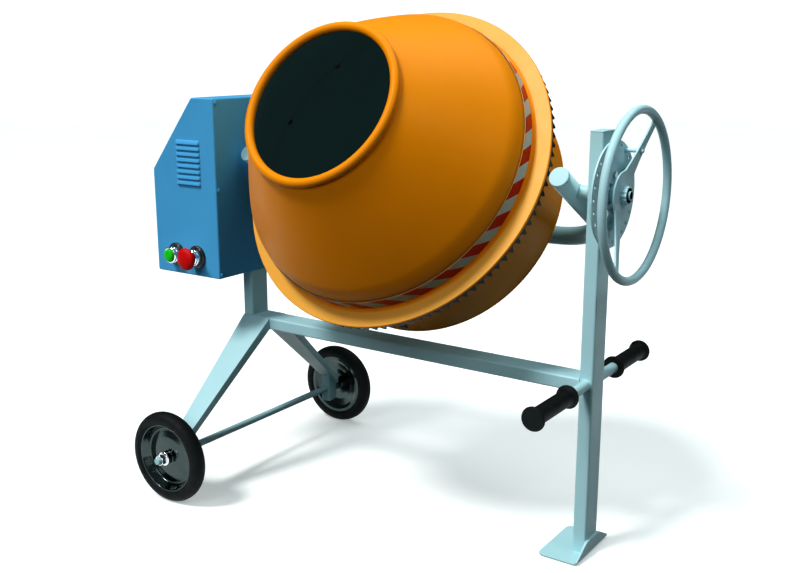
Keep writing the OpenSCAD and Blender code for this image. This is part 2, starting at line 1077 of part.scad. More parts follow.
// On the wall's inner face at one blade foot, with Z pointing at the drum's axis
module foot_place(s) {
  translate([wall_r(s), 0, s])
    rotate([0, -90 - basin_taper, 0])
      children();
}

// The bolt of each blade foot
module blade_bolt_places() {
  for (a = blade_angles)
    rotate(a)
      for (s = blade_feet)
        foot_place(s)
          translate([0, blade_bolt_y, 0])
            children();
}

// A curved paddle on two bolted feet
module mixing_blade(a) {
  paddle_t = 5;
  rotate(a)
    difference() {
      union() {
        rotate([90, 0, 0])
          translate([0, 0, -paddle_t / 2])
            linear_extrude(paddle_t)
              polygon([
                [200, -130],
                [282, -140],
                [296, -100],
                [296, 60],
                [270, 90],
                [215, 60],
                [200, -20]
              ]);
        for (s = blade_feet)
          foot_place(s) {
            translate([-14, -18, 0.8])
              cube([28, 36, 4]);
            translate([-12, -paddle_t / 2, 4])
              cube([24, paddle_t, 30]);
          }
      }
      for (s = blade_feet)
        foot_place(s)
          translate([0, blade_bolt_y, 0])
            rod_z(-10, 20, 4);
    }
}

module mixing_blade_1() color([0.45, 0.46, 0.47])
  on_drum_axis()
    mixing_blade(blade_angles[0]);

module mixing_blade_2() color([0.45, 0.46, 0.47])
  on_drum_axis()
    mixing_blade(blade_angles[1]);

// Bolts of the blade feet and of the shaft's flange
module drum_bolts() color(steel)
  on_drum_axis() {
    blade_bolt_places() {
      rod_z(-sheet - 1.5, 11, 4);
      rod_z(-sheet - 4.5, -sheet - 1.5, 8);
      translate([0, 0, 4.8])
        hexagon(13, 5);
    }
    hub_bolt_places() {
      rod_z(-basin_floor_s - 8, sheet - basin_floor_s, 5);
      translate([0, 0, sheet - basin_floor_s])
        hexagon(17, 6);
      translate([0, 0, -basin_floor_s - 14])
        hexagon(17, 6);
    }
  }

// Shaft with a bolted flange under the drum's floor
module drum_shaft() color(steel)
  on_drum_axis()
    difference() {
      union() {
        rod_z(-350, sheet - basin_floor_s, shaft_r);
        rod_z(hub_s1 + 0.3, -basin_floor_s, 18);
        rod_z(-basin_floor_s - 8, -basin_floor_s, 68);
      }
      hub_bolt_places()
        rod_z(-basin_floor_s - 9, 1 - basin_floor_s, 5);
    }

module drum_shaft_nut() color(steel)
  on_drum_axis()
    difference() {
      union() {
        rod_z(hub_s0 - 3.3, hub_s0 - 0.3, 20);
        translate([0, 0, hub_s0 - 15.3])
          hexagon(36, 12);
      }
      rod_z(hub_s0 - 20, hub_s0, shaft_r);
    }

// ---- Yoke ----

// The U of the yoke as a solid bar of radius r, in drum coordinates
module yoke_bar(r, front) {
  straight = yoke_depth - bend_r;
  for (side = [0, 1])
    mirror([side, 0, 0]) {
      reach = [arm_x, left_arm_x][side];
      translate([reach, 0, 0])
        rod_z(-straight, front, r);
      translate([reach - bend_r, 0, -straight])
        rotate([90, 0, 0])
          rotate([0, 0, -90])
            rotate_extrude(angle = 90)
              translate([bend_r, 0])
                circle(r);
    }
  translate([0, 0, -yoke_depth])
    rod_x(-left_arm_x + bend_r, arm_x - bend_r, r);
}

module yoke_tube() color(frame_colour)
  on_drum_axis()
    difference() {
      yoke_bar(yoke_d / 2, arm_front - 3);
      yoke_bar(yoke_d / 2 - 3, arm_front);
      rod_z(-yoke_depth - 40, -yoke_depth + 40, hub_r);
      rod_x(arm_x, arm_x + 40, right_trunnion_r);
      rod_x(-left_arm_x - 40, -left_arm_x + 40, left_trunnion_r);
    }

module yoke_end_caps() color(frame_colour)
  on_drum_axis()
    for (x = [-left_arm_x, arm_x])
      translate([x, 0, arm_front - 3]) {
        cylinder(h = 2, r = yoke_d / 2);
        translate([0, 0, 2])
          cylinder(h = 2, r1 = yoke_d / 2, r2 = yoke_d / 2 - 3);
      }

// Hollow pivot that the pinion shaft runs through
module trunnion_left() color(frame_colour)
  on_tilt_axis()
    difference() {
      rod_x(-496, -379.3, left_trunnion_r);
      rod_x(-500, -370, 13);
    }

// Bushes for the pinion shaft, in both ends of the hollow pivot
module shaft_bushes() color(bronze)
  on_tilt_axis()
    for (x = [-399, -496])
      difference() {
        rod_x(x, x + 18, 13);
        rod_x(x - 1, x + 19, pinion_shaft_r + running);
      }

// Pivot with a square end that carries the handwheel and a bore for its draw bolt
module trunnion_right() color(frame_colour)
  on_tilt_axis()
    difference() {
      union() {
        rod_x(arm_x - 12, post_out + 6, right_trunnion_r);
        block([post_out + 6, -square_half, -square_half], [post_out + 27, square_half, square_half]);
      }
      rod_x(arm_x - 13, post_out, spring_chamber_r);
      rod_x(arm_x - 13, post_out + 28, draw_bolt_r + 0.1);
    }

module bearing_housing() color(frame_colour)
  on_drum_axis()
    difference() {
      rod_z(hub_s0, hub_s1, hub_r);
      rod_z(hub_s0 - 1, hub_s0 + bearing_w, bearing_r);
      rod_z(hub_s1 - bearing_w, hub_s1 + 1, bearing_r);
      rod_z(hub_s0, hub_s1, bearing_r - 5);
    }

module drum_bearings() color(steel)
  on_drum_axis()
    for (s = [hub_s0, hub_s1 - bearing_w])
      difference() {
        rod_z(s, s + bearing_w, bearing_r);
        rod_z(s - 1, s + bearing_w + 1, shaft_r + running);
      }

// ---- Handwheel ----

module rim_torus() {
  translate([rim_x, 0, 0])
    rotate([0, 90, 0])
      rotate_extrude($fn = 120)
        translate([rim_r, 0])
          circle(rim_bar);
}

module handwheel_rim() color(frame_colour)
  on_tilt_axis()
    rim_torus();

// Round hub plate, square socket and two tapered arms that rise to the rim
module handwheel_spokes() color(frame_colour)
  on_tilt_axis()
    difference() {
      union() {
        rod_x(hub_plate_x, hub_plate_x + hub_plate_t, 47);
        rod_x(hub_plate_x - 18, hub_plate_x, 19);
        for (a = [pin_angle, pin_angle + 180])
          rotate([a, 0, 0])
            handwheel_arm();
      }
      block(
        [hub_plate_x - 19, -square_half - 0.3, -square_half - 0.3],
        [hub_plate_x, square_half + 0.3, square_half + 0.3]
      );
      rod_x(hub_plate_x - 1, hub_plate_x + 10, draw_bolt_r);
      rim_torus();
      rotate([pin_angle, 0, 0])
        translate([0, index_r, 0])
          rod_x(hub_plate_x - 10, hub_plate_x + 30, pin_r);
    }

// One arm along Y, from the hub plate out to the rim
module handwheel_arm() {
  start = 38;
  rise = atan2(rim_x - hub_plate_x - hub_plate_t, rim_r - start);
  run = (rim_r - start) / cos(rise);
  translate([hub_plate_x, start, 0])
    rotate([0, 0, -rise])
      rotate([0, 90, 0])
        linear_extrude(hub_plate_t)
          polygon([[-28, -4], [28, -4], [9, run - 6], [-9, run - 6]]);
}

module lock_pin() color(frame_colour)
  on_tilt_axis()
    rotate([pin_angle, 0, 0])
      translate([0, index_r, 0])
        rod_x(post_out + disc_dish - 3, hub_plate_x + 22, pin_r);

// Bolt through the handwheel's hub, with a nut at each end
module draw_bolt() color(frame_colour)
  on_tilt_axis() {
    rod_x(arm_x + 6, hub_plate_x + 20, draw_bolt_r);
    rod_x(arm_x + 6, arm_x + 14, spring_chamber_r - 0.3);
    difference() {
      translate([hub_plate_x + hub_plate_t, 0, 0])
        rotate([0, 90, 0])
          hexagon(32, 12);
      rod_x(hub_plate_x, hub_plate_x + 30, draw_bolt_r);
    }
    rod_x(hub_plate_x + hub_plate_t, hub_plate_x + hub_plate_t + 1, draw_bolt_r + 1);
    rod_x(hub_plate_x + 15, hub_plate_x + 20, bolt_end_r);
  }

// Compression spring that keeps the lock pin in the index disc
module lock_spring() color(steel)
  on_tilt_axis() {
    coils = 7;
    x0 = arm_x + 14.2;
    x1 = post_out - 0.2;
    wire = 1.2;
    step = (x1 - x0 - 2 * wire) / (coils - 1);
    for (i = [0 : coils - 1])
      translate([x0 + wire + i * step, 0, 0])
        rotate([0, 90, 0])
          rotate_extrude($fn = 48)
            translate([7.7, 0])
              circle(wire, $fn = 16);
  }

// ---- Wheels ----

// A solid rubber tyre, centred on the middle of the axle
module tyre(side) {
  r = tyre_w / 2;
  outer = tyre_d / 2;
  translate([wheel_x, side * wheel_y, wheel_z])
    rotate([-90, 0, 0])
      rotate_extrude($fn = 144)
        difference() {
          union() {
            translate([outer - r, 0])
              circle(r);
            translate([82, -r + 4])
              square([outer - r - 82, tyre_w - 8]);
          }
          translate([0, -r])
            square([82, tyre_w]);
        }
}

// Pressed disc, channel rim and hub tube
module wheel(side) {
  rim_half = 15;
  bore = axle_r + running;
  translate([wheel_x, side * wheel_y, wheel_z])
    mirror([0, side < 0 ? 1 : 0, 0])
      rotate([-90, 0, 0])
        rotate_extrude($fn = 144)
          polygon([
            [bore, -23.5],
            [15, -23.5],
            [15, -4],
            [24, -3],
            [44, -7],
            [66, -7],
            [72, -12],
            [78, -rim_half],
            [82, -rim_half],
            [82, rim_half],
            [78, rim_half],
            [72, 9],
            [66, -3],
            [44, -3],
            [24, 1],
            [15, 2],
            [15, 16],
            [bore, 16]
          ]);
}

module tyre_near() color(black)
  placed()
    tyre(-1);

module wheel_near() color(steel)
  placed()
    wheel(-1);

module tyre_far() color(black)
  placed()
    tyre(1);

module wheel_far() color(steel)
  placed()
    wheel(1);

main_beam();
motor_side_post();
handwheel_side_post();
post_cap();
foot_plate();
leg_near();
leg_far();
axle_brackets();
wheel_axle();
axle_nuts();
handle_bar();
handle_grips();
index_disc();
index_disc_bolts();
trunnion_bushes();
housing_shell();
housing_back_plate();
housing_screws();
motor_bracket();
motor_body();
switch_blocks();
button_base_rings();
button_collars();
drive_belt();
power_inlet();
motor_shaft();
motor_pulley();
pinion_shaft();
pinion_gear();
large_pulley();
yoke_tube();
yoke_end_caps();
trunnion_right();
trunnion_left();
shaft_bushes();
bearing_housing();
drum_bearings();
drum_shaft();
drum_shaft_nut();
drum_upper_shell();
mouth_ring();
drum_collar();
stripe_band();
drum_basin();
ring_gear();
ring_gear_bolts();
mixing_blade_1();
mixing_blade_2();
drum_bolts();
handwheel_rim();
handwheel_spokes();
lock_pin();
draw_bolt();
lock_spring();
tyre_near();
wheel_near();
tyre_far();
wheel_far();
start_button();
stop_button();
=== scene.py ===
"""Tilting-drum concrete mixer: detailed meshes, paint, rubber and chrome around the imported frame."""

import json
import math

import bmesh
import bpy
from mathutils import Matrix, Vector


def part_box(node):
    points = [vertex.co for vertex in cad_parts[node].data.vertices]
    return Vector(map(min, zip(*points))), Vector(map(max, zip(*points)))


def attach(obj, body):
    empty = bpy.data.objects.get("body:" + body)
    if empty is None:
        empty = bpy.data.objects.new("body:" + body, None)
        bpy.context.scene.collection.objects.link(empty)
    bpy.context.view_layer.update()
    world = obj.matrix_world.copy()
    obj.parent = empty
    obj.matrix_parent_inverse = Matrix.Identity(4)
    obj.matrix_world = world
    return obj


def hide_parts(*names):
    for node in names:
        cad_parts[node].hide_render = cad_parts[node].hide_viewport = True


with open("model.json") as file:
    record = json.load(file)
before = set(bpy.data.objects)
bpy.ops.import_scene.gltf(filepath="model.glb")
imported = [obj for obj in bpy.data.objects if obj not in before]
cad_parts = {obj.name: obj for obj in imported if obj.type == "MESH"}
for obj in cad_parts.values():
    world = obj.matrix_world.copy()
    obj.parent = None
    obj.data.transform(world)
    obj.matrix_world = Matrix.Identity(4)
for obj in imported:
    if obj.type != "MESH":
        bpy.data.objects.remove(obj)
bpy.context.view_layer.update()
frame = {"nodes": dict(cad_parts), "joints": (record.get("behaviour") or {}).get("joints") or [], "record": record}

MM = 0.001
ROUND = 192
FINE = 240
NODES = frame["nodes"]
JOINTS = {joint["name"]: joint for joint in frame["joints"]}
BODY_OF = {node: body for body, nodes in frame["record"]["behaviour"]["bodies"].items() for node in nodes}
SLOT_OF = {part["node"]: part["material_slot"] for part in frame["record"]["subparts"]}


# ---- Places and sizes read from the frame ----


def axes(origin, along, across=(1, 0, 0)):
    """Matrix of a local frame at origin with Z along one direction and X as near as can be to another."""
    z = Vector(along).normalized()
    x = (Vector(across) - Vector(across).dot(z) * z).normalized()
    y = z.cross(x)
    matrix = Matrix((x, y, z)).transposed().to_4x4()
    matrix.translation = Vector(origin)
    return matrix


class Span:
    """How far a node reaches along and around a local frame's Z."""

    def __init__(self, node, place):
        inverse = place.inverted()
        points = [inverse @ v.co for v in NODES[node].data.vertices]
        radii = [math.hypot(p.x, p.y) for p in points]
        self.s0, self.s1 = min(p.z for p in points), max(p.z for p in points)
        self.r0, self.r1 = min(radii), max(radii)
        self.mid = (self.s0 + self.s1) / 2


tilt_point = Vector(JOINTS["tilt"]["pos_m"])
drum_place = axes(tilt_point, JOINTS["drum_spin"]["axis"])
tilt_place = axes(tilt_point, (1, 0, 0), (0, 1, 0))


# ---- Mesh helpers ----


def new_piece(name, mesh, body, materials, replaces=()):
    """Links a mesh as a piece that rides on a body, with smooth faces and weighted normals."""
    mesh.name = name
    for face in mesh.polygons:
        face.use_smooth = True
    piece = bpy.data.objects.new(name, mesh)
    bpy.context.scene.collection.objects.link(piece)
    for material in materials:
        mesh.materials.append(material)
    normals = piece.modifiers.new("normals", "WEIGHTED_NORMAL")
    normals.keep_sharp = True
    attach(piece, body)
    if replaces:
        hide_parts(*replaces)
    return piece


def to_mesh(bm):
    """A bmesh as a mesh, and freed."""
    mesh = bpy.data.meshes.new("mesh")
    bm.to_mesh(mesh)
    bm.free()
    return mesh


def mesh_from(bm, place=None):
    """Turns a bmesh into a mesh with outward faces."""
    bmesh.ops.recalc_face_normals(bm, faces=bm.faces)
    if place is not None:
        bmesh.ops.transform(bm, matrix=place, verts=bm.verts)
    return to_mesh(bm)


def arc_points(corner, before, after, radius, steps):
    """Points that round one corner of a line in the plane or in space."""
    corner, before, after = Vector(corner), Vector(before), Vector(after)
    to_before, to_after = (before - corner), (after - corner)
    half = to_before.angle(to_after) / 2
    if radius <= 0 or half > math.radians(89.5):
        return [corner]
    reach = min(radius / math.tan(half), to_before.length * 0.49, to_after.length * 0.49)
    radius = reach * math.tan(half)
    middle = (to_before.normalized() + to_after.normalized()).normalized()
    centre = corner + middle * (radius / math.sin(half))
    start = corner + to_before.normalized() * reach - centre
    end = corner + to_after.normalized() * reach - centre
    turn = start.angle(end)
    points = []
    for i in range(steps + 1):
        t = i / steps
        points.append(centre + (start * math.sin((1 - t) * turn) + end * math.sin(t * turn)) / math.sin(turn))
    return points


def rounded(corners, steps=4, closed=True):
    """Outline whose corners, given as (a, b, radius), are turned into arcs."""
    count = len(corners)
    outline = []
    for i, (a, b, radius) in enumerate(corners):
        if not closed and i in (0, count - 1):
            outline.append(Vector((a, b)))
            continue
        before, after = corners[i - 1], corners[(i + 1) % count]
        outline += arc_points((a, b), before[:2], after[:2], radius, steps)
    return [Vector((p[0], p[1])) for p in outline]


def rounded_mm(corners, steps=4, closed=True):
    """The same for corners given in millimetres."""
    return rounded([tuple(value * MM for value in corner) for corner in corners], steps, closed)


def turns(count):
    """Angles that share a full circle equally."""
    return [2 * math.pi * j / count for j in range(count)]


def bridge(bm, low, high):
    """Faces between two closed rows of points."""
    for j in range(len(low)):
        k = (j + 1) % len(low)
        bm.faces.new((low[j], low[k], high[k], high[j]))


def bar_outline(r, s, bar, count):
    """Section of a round bar bent into a ring of radius r at height s."""
    return [Vector((r + bar * math.cos(a), s + bar * math.sin(a))) for a in turns(count)]


def lathe(outline, place, segments=ROUND, material_of=None):
    """Solid of revolution of an outline of (r, s) points about the local Z, closed unless it starts there."""
    bm = bmesh.new()
    rings = []
    for r, s in outline:
        if r < 1e-6:
            rings.append([bm.verts.new((0, 0, s))] * segments)
            continue
        rings.append([bm.verts.new((r * math.cos(a), r * math.sin(a), s)) for a in turns(segments)])
    count = len(rings)
    on_axis = outline[0][0] < 1e-6
    for i in range(count - 1 if on_axis else count):
        low, high = rings[i], rings[(i + 1) % count]
        if low[0] is low[1] and high[0] is high[1]:
            continue
        for j in range(segments):
            k = (j + 1) % segments
            corners = list(dict.fromkeys([low[j], low[k], high[k], high[j]]))
            face = bm.faces.new(corners)
            if material_of:
                face.material_index = material_of(i, j)
    return mesh_from(bm, place)


def sweep(path, radius_at, sides=40, closed=False):
    """Round bar along a path, with its radius given for each share of the length."""
    bm = bmesh.new()
    path = [Vector(p) for p in path]
    count = len(path)
    tangents = []
    for i in range(count):
        before = path[i - 1] if closed or i else path[0]
        after = path[(i + 1) % count] if closed or i < count - 1 else path[-1]
        tangents.append((after - before).normalized())
    side = tangents[0].orthogonal().normalized()
    rings = []
    for i, (point, tangent) in enumerate(zip(path, tangents)):
        side = (side - side.dot(tangent) * tangent).normalized()
        up = tangent.cross(side)
        radius = radius_at(i / max(count - 1, 1))
        spots = [point + radius * (math.cos(a) * side + math.sin(a) * up) for a in turns(sides)]
        rings.append([bm.verts.new(spot) for spot in spots])
    for i in range(count if closed else count - 1):
        bridge(bm, rings[i], rings[(i + 1) % count])
    if not closed:
        bm.faces.new(rings[0])
        bm.faces.new(rings[-1][::-1])
    return mesh_from(bm)


def inset_outline(outline, amount):
    """Outline moved inwards along its corner normals; it runs anticlockwise."""
    count = len(outline)
    moved = []
    for i, point in enumerate(outline):
        before = (point - outline[i - 1]).normalized()
        after = (outline[(i + 1) % count] - point).normalized()
        inward = (Vector((-before.y, before.x)) + Vector((-after.y, after.x))).normalized()
        slant = max(0.5, inward.dot(Vector((-after.y, after.x))))
        moved.append(point + inward * amount / slant)
    return moved


def slab(outline, place, low, high, edge, steps=3, hollow=0):
    """Prism along the local Z with rounded rims; a hollow one is an open tube with that wall."""
    outline = wound(outline)
    bm = bmesh.new()

    def ring(inset, z):
        return [bm.verts.new((p.x, p.y, z)) for p in (inset_outline(outline, inset) if inset else outline)]

    rings = []
    for i in range(steps + 1 if edge else 1):
        turn = math.pi / 2 * i / steps
        rings.append(ring(edge * (1 - math.sin(turn)), low + edge * (1 - math.cos(turn))))
    for i in range(steps + 1 if edge else 1):
        turn = math.pi / 2 * (1 - i / steps)
        rings.append(ring(edge * (1 - math.sin(turn)), high - edge * (1 - math.cos(turn))))
    if hollow:
        rings.append(ring(hollow, high))
        rings.append(ring(hollow, low))
        rings.append(rings[0])
    for below, above in zip(rings, rings[1:]):
        bridge(bm, below, above)
    if not hollow:
        bm.faces.new(rings[0][::-1])
        bm.faces.new(rings[-1])
    return mesh_from(bm, place)


def box_outline(x0, x1, y0, y1, radius):
    """Rectangle with rounded corners."""
    return rounded([(x0, y0, radius), (x1, y0, radius), (x1, y1, radius), (x0, y1, radius)], steps=5)


def strip(path, half_widths, thickness, place, edge=0.0012):
    """Bent strip: a path in the local XZ plane, with a half width across Y at each point."""
    bm = bmesh.new()
    rings = []
    count = len(path)
    for i, (point, half) in enumerate(zip(path, half_widths)):
        before, after = path[max(i - 1, 0)], path[min(i + 1, count - 1)]
        tangent = (Vector(after) - Vector(before)).normalized()
        normal = Vector((-tangent.y, tangent.x))
        radius = min(edge, half * 0.9, thickness * 0.45)
        section = box_outline(-half, half, -thickness / 2, thickness / 2, radius)
        ring = []
        for across, up in section:
            spot = Vector(point) + normal * up
            ring.append(bm.verts.new((spot.x, across, spot.y)))
        rings.append(ring)
    for low, high in zip(rings, rings[1:]):
        bridge(bm, low, high)
    bm.faces.new(rings[0][::-1])
    bm.faces.new(rings[-1])
    return mesh_from(bm, place)


def hex_nut(flats, bore, low, high, place):
    """Hexagon nut with its corners turned off, along the local Z."""
    bm = bmesh.new()
    flat_r = flats / 2
    crown = flat_r * 0.95
    chamfer = math.tan(math.radians(30))
    samples = 96
    under = 0.2 * MM

    def hexagon(a):
        return flat_r / math.cos((a + math.pi / 6) % (math.pi / 3) - math.pi / 6)

    rings = [[] for _ in range(6)]
    for a in turns(samples):
        drop = (hexagon(a) - crown) * chamfer
        levels = [
            (bore, low), (crown, low), (hexagon(a), low + under),
            (hexagon(a), high - drop), (crown, high), (bore, high),
        ]
        for ring, (r, s) in zip(rings, levels):
            ring.append(bm.verts.new((r * math.cos(a), r * math.sin(a), s)))
    for low_ring, high_ring in zip(rings, rings[1:] + rings[:1]):
        bridge(bm, low_ring, high_ring)
    return mesh_from(bm, place)


def joined(meshes):
    """One mesh made of several."""
    bm = bmesh.new()
    for mesh in meshes:
        bm.from_mesh(mesh)
        bpy.data.meshes.remove(mesh)
    return to_mesh(bm)


def cut(mesh, cutters):
    """Mesh with the cutters' shapes taken out of it."""
    target = bpy.data.objects.new("cut_target", mesh)
    bpy.context.scene.collection.objects.link(target)
    tool = bpy.data.objects.new("cut_tool", joined(cutters))
    bpy.context.scene.collection.objects.link(tool)
    boolean = target.modifiers.new("cut", "BOOLEAN")
    boolean.operation = "DIFFERENCE"
    boolean.solver = "EXACT"
    boolean.use_self = True
    boolean.object = tool
    graph = bpy.context.evaluated_depsgraph_get()
    result = bpy.data.meshes.new_from_object(target.evaluated_get(graph))
    result.materials.clear()
    for thing in (target, tool):
        bpy.data.objects.remove(thing)
    return result


def weld_bead(path, closed=False, radius=0.0022, ripple=0.0045):
    """Rippled bead of weld along a path of close points."""
    length = sum((Vector(a) - Vector(b)).length for a, b in zip(path, path[1:]))
    waves = max(2, round(length / ripple))
    steps = waves * 4
    dense = [along(path, i / steps) for i in range(steps + (0 if closed else 1))]

    def radius_at(t):
        return radius * (0.86 + 0.14 * math.cos(2 * math.pi * waves * t))

    return sweep(dense, radius_at, sides=10, closed=closed)


def along(path, share):
    """Point at a share of a path's length."""
    path = [Vector(p) for p in path]
    lengths = [(b - a).length for a, b in zip(path, path[1:])]
    left = share * sum(lengths)
    for a, b, length in zip(path, path[1:], lengths):
        if left <= length and length > 0:
            return a.lerp(b, left / length)
        left -= length
    return path[-1]


def circle_path(place, radius, s, count=96):
    """Closed path round a local frame's Z, with its first point repeated at the end."""
    return [
        place @ Vector((radius * math.cos(a), radius * math.sin(a), s))
        for a in (2 * math.pi * j / count for j in range(count + 1))
    ]


# ---- Materials ----


def fill(tree, sockets, values):
    """Link each socket to an output, or set it to a value."""
    for name, value in values.items():
        if isinstance(value, bpy.types.NodeSocket):
            tree.links.new(value, sockets[name])
        else:
            sockets[name].default_value = value


def add_node(tree, kind, output, values=None, **settings):
    """A new shader node with its sockets filled; gives one of its outputs."""
    node = tree.nodes.new("ShaderNode" + kind)
    for name, value in settings.items():
        setattr(node, name, value)
    fill(tree, node.inputs, values or {})
    return node.outputs[output]


class Nodes:
    """Short names for building a shader."""

    def __init__(self, name):
        self.material = bpy.data.materials.new(name)
        self.material.use_nodes = True
        self.tree = self.material.node_tree
        self.shader = self.tree.nodes["Principled BSDF"]
        self.place = add_node(self.tree, "TexCoord", "Object")

    def noise(self, scale, detail=3.0, roughness=0.55, stretch=None):
        place = self.place
        if stretch:
            place = add_node(self.tree, "Mapping", "Vector", {"Scale": stretch, "Vector": place})
        values = {"Scale": scale, "Detail": detail, "Roughness": roughness, "Vector": place}
        return add_node(self.tree, "TexNoise", "Fac", values)

    def cells(self, scale):
        return add_node(self.tree, "TexVoronoi", "Distance", {"Scale": scale, "Vector": self.place})

    def spread(self, output, low, high, to_low=0.0, to_high=1.0):
        values = {"Value": output, "From Min": low, "From Max": high, "To Min": to_low, "To Max": to_high}
        return add_node(self.tree, "MapRange", "Result", values)

    def maths(self, operation, a, b):
        return add_node(self.tree, "Math", "Value", {0: a, 1: b}, operation=operation)

    def mix(self, share, a, b):
        a, b = ((*c, 1) if isinstance(c, tuple) else c for c in (a, b))
        return add_node(self.tree, "Mix", "Result", {"Factor": share, "A": a, "B": b}, data_type="RGBA")

    def bump(self, height, strength, distance, under=None):
        values = {"Strength": strength, "Distance": distance, "Height": height}
        if under is not None:
            values["Normal"] = under
        return add_node(self.tree, "Bump", "Normal", values)

    def done(self, colour, roughness, normal=None, **values):
        values = {socket.replace("_", " "): value for socket, value in values.items()}
        values |= {"Base Color": colour, "Roughness": roughness}
        if normal is not None:
            values["Normal"] = normal
        fill(self.tree, self.shader.inputs, values)
        return self.material


def tinted(colour, factor):
    """The colour made lighter or darker."""
    return tuple(min(1.0, channel * factor) for channel in colour)


def paint(name, colour, roughness, grain=900, coat=0.25, dust=(0.42, 0.38, 0.32), shine=0.42):
    """Sprayed paint: slight orange peel, uneven tone, fine dust and a few scuffs."""
    n = Nodes(name)
    tone = n.spread(n.noise(4.5, 4), 0.3, 0.7)
    colour_out = n.mix(tone, tinted(colour, 0.95), tinted(colour, 1.05))
    specks = n.spread(n.noise(260, 2, 0.6), 0.66, 0.78, 0, 0.5)
    blotches = n.spread(n.noise(9, 5, 0.65), 0.55, 0.8, 0, 0.05)
    colour_out = n.mix(n.maths("ADD", blotches, n.maths("MULTIPLY", specks, 0.14)), colour_out, dust)
    rough = n.spread(n.noise(14, 5, 0.6), 0.3, 0.75, roughness - 0.05, roughness + 0.09)
    peel = n.bump(n.noise(grain, 2), 0.045, 0.0006)
    scuffs = n.spread(n.noise(55, 6, 0.7, stretch=(1, 0.12, 0.5)), 0.62, 0.74)
    normal = n.bump(scuffs, 0.03, 0.0003, peel)
    return n.done(
        colour_out, rough, normal, Coat_Weight=coat, Coat_Roughness=0.22, Specular_IOR_Level=shine
    )


def drum_inside():
    """Dark bare steel inside the drum, dulled by cement; its dim teal-grey tone is painted shade and its faint
    teal emission is a painted glow.
    """
    n = Nodes("drum_inside_painted_shade_glow")
    patches = n.spread(n.noise(16, 6, 0.65), 0.35, 0.75)
    # Painted shade: dim teal-grey tones for the inside, with random cement patches between them.
    colour = n.mix(patches, (0.050, 0.092, 0.092), (0.066, 0.115, 0.112))
    rough = n.spread(n.noise(40, 4), 0.3, 0.7, 0.75, 0.95)
    # Painted light: a faint teal emission makes the inside glow, though it is no lamp.
    return n.done(colour, rough, n.bump(n.noise(120, 5, 0.7), 0.25, 0.001), Specular_IOR_Level=0.12,
                  Emission_Color=(0.45, 1.0, 1.0, 1), Emission_Strength=0.016)


def steel(name, colour, roughness):
    """Bare or plated metal with a slightly cloudy finish."""
    n = Nodes(name)
    cloud = n.spread(n.noise(35, 5, 0.6), 0.3, 0.7)
    colour_out = n.mix(cloud, tinted(colour, 0.88), tinted(colour, 1.06))
    rough = n.spread(n.noise(160, 4, 0.7), 0.3, 0.7, roughness * 0.7, roughness * 1.3)
    normal = n.bump(n.noise(420, 3, 0.6), 0.05, 0.0004)
    return n.done(colour_out, rough, normal, Metallic=1.0)


def gear_iron():
    """Black cast iron: fine sand-cast grain under a film of grease."""
    n = Nodes("gear_black_iron")
    grease = n.spread(n.noise(28, 5, 0.65), 0.4, 0.65)
    colour = n.mix(grease, (0.0035, 0.0075, 0.010), (0.0015, 0.0035, 0.005))
    rough = n.spread(n.noise(60, 3), 0.35, 0.65, 0.35, 0.62)
    return n.done(colour, rough, n.bump(n.noise(500, 4, 0.7), 0.3, 0.0006), Specular_IOR_Level=0.15)


def rubber(name, colour, roughness, grain=700):
    """Moulded rubber with a fine skin and a bloom of dust."""
    n = Nodes(name)
    bloom = n.spread(n.noise(22, 5, 0.6), 0.45, 0.8, 0, 0.5)
    colour_out = n.mix(bloom, colour, tinted(colour, 1.9))
    rough = n.spread(n.noise(45, 4), 0.3, 0.7, roughness - 0.07, roughness + 0.1)
    normal = n.bump(n.noise(grain, 3, 0.6), 0.12, 0.0005)
    return n.done(colour_out, rough, normal, Specular_IOR_Level=0.22)


def tape(name, colour):
    """Reflective tape: tiny beads under a clear film."""
    n = Nodes(name)
    worn = n.spread(n.noise(30, 5, 0.65), 0.3, 0.75)
    colour_out = n.mix(worn, tinted(colour, 1.05), tinted(colour, 0.86))
    rough = n.spread(n.noise(90, 3), 0.3, 0.7, 0.3, 0.42)
    return n.done(colour_out, rough, n.bump(n.cells(1400), 0.06, 0.0003), Specular_IOR_Level=0.2)


def plastic(name, colour, roughness, **extra):
    """Moulded plastic with a faint skin."""
    n = Nodes(name)
    tone = n.spread(n.noise(60, 3), 0.3, 0.7)
    colour_out = n.mix(tone, tinted(colour, 0.93), tinted(colour, 1.06))
    rough = n.spread(n.noise(120, 3), 0.3, 0.7, roughness - 0.04, roughness + 0.06)
    return n.done(colour_out, rough, n.bump(n.noise(600, 2), 0.05, 0.0004), **extra)


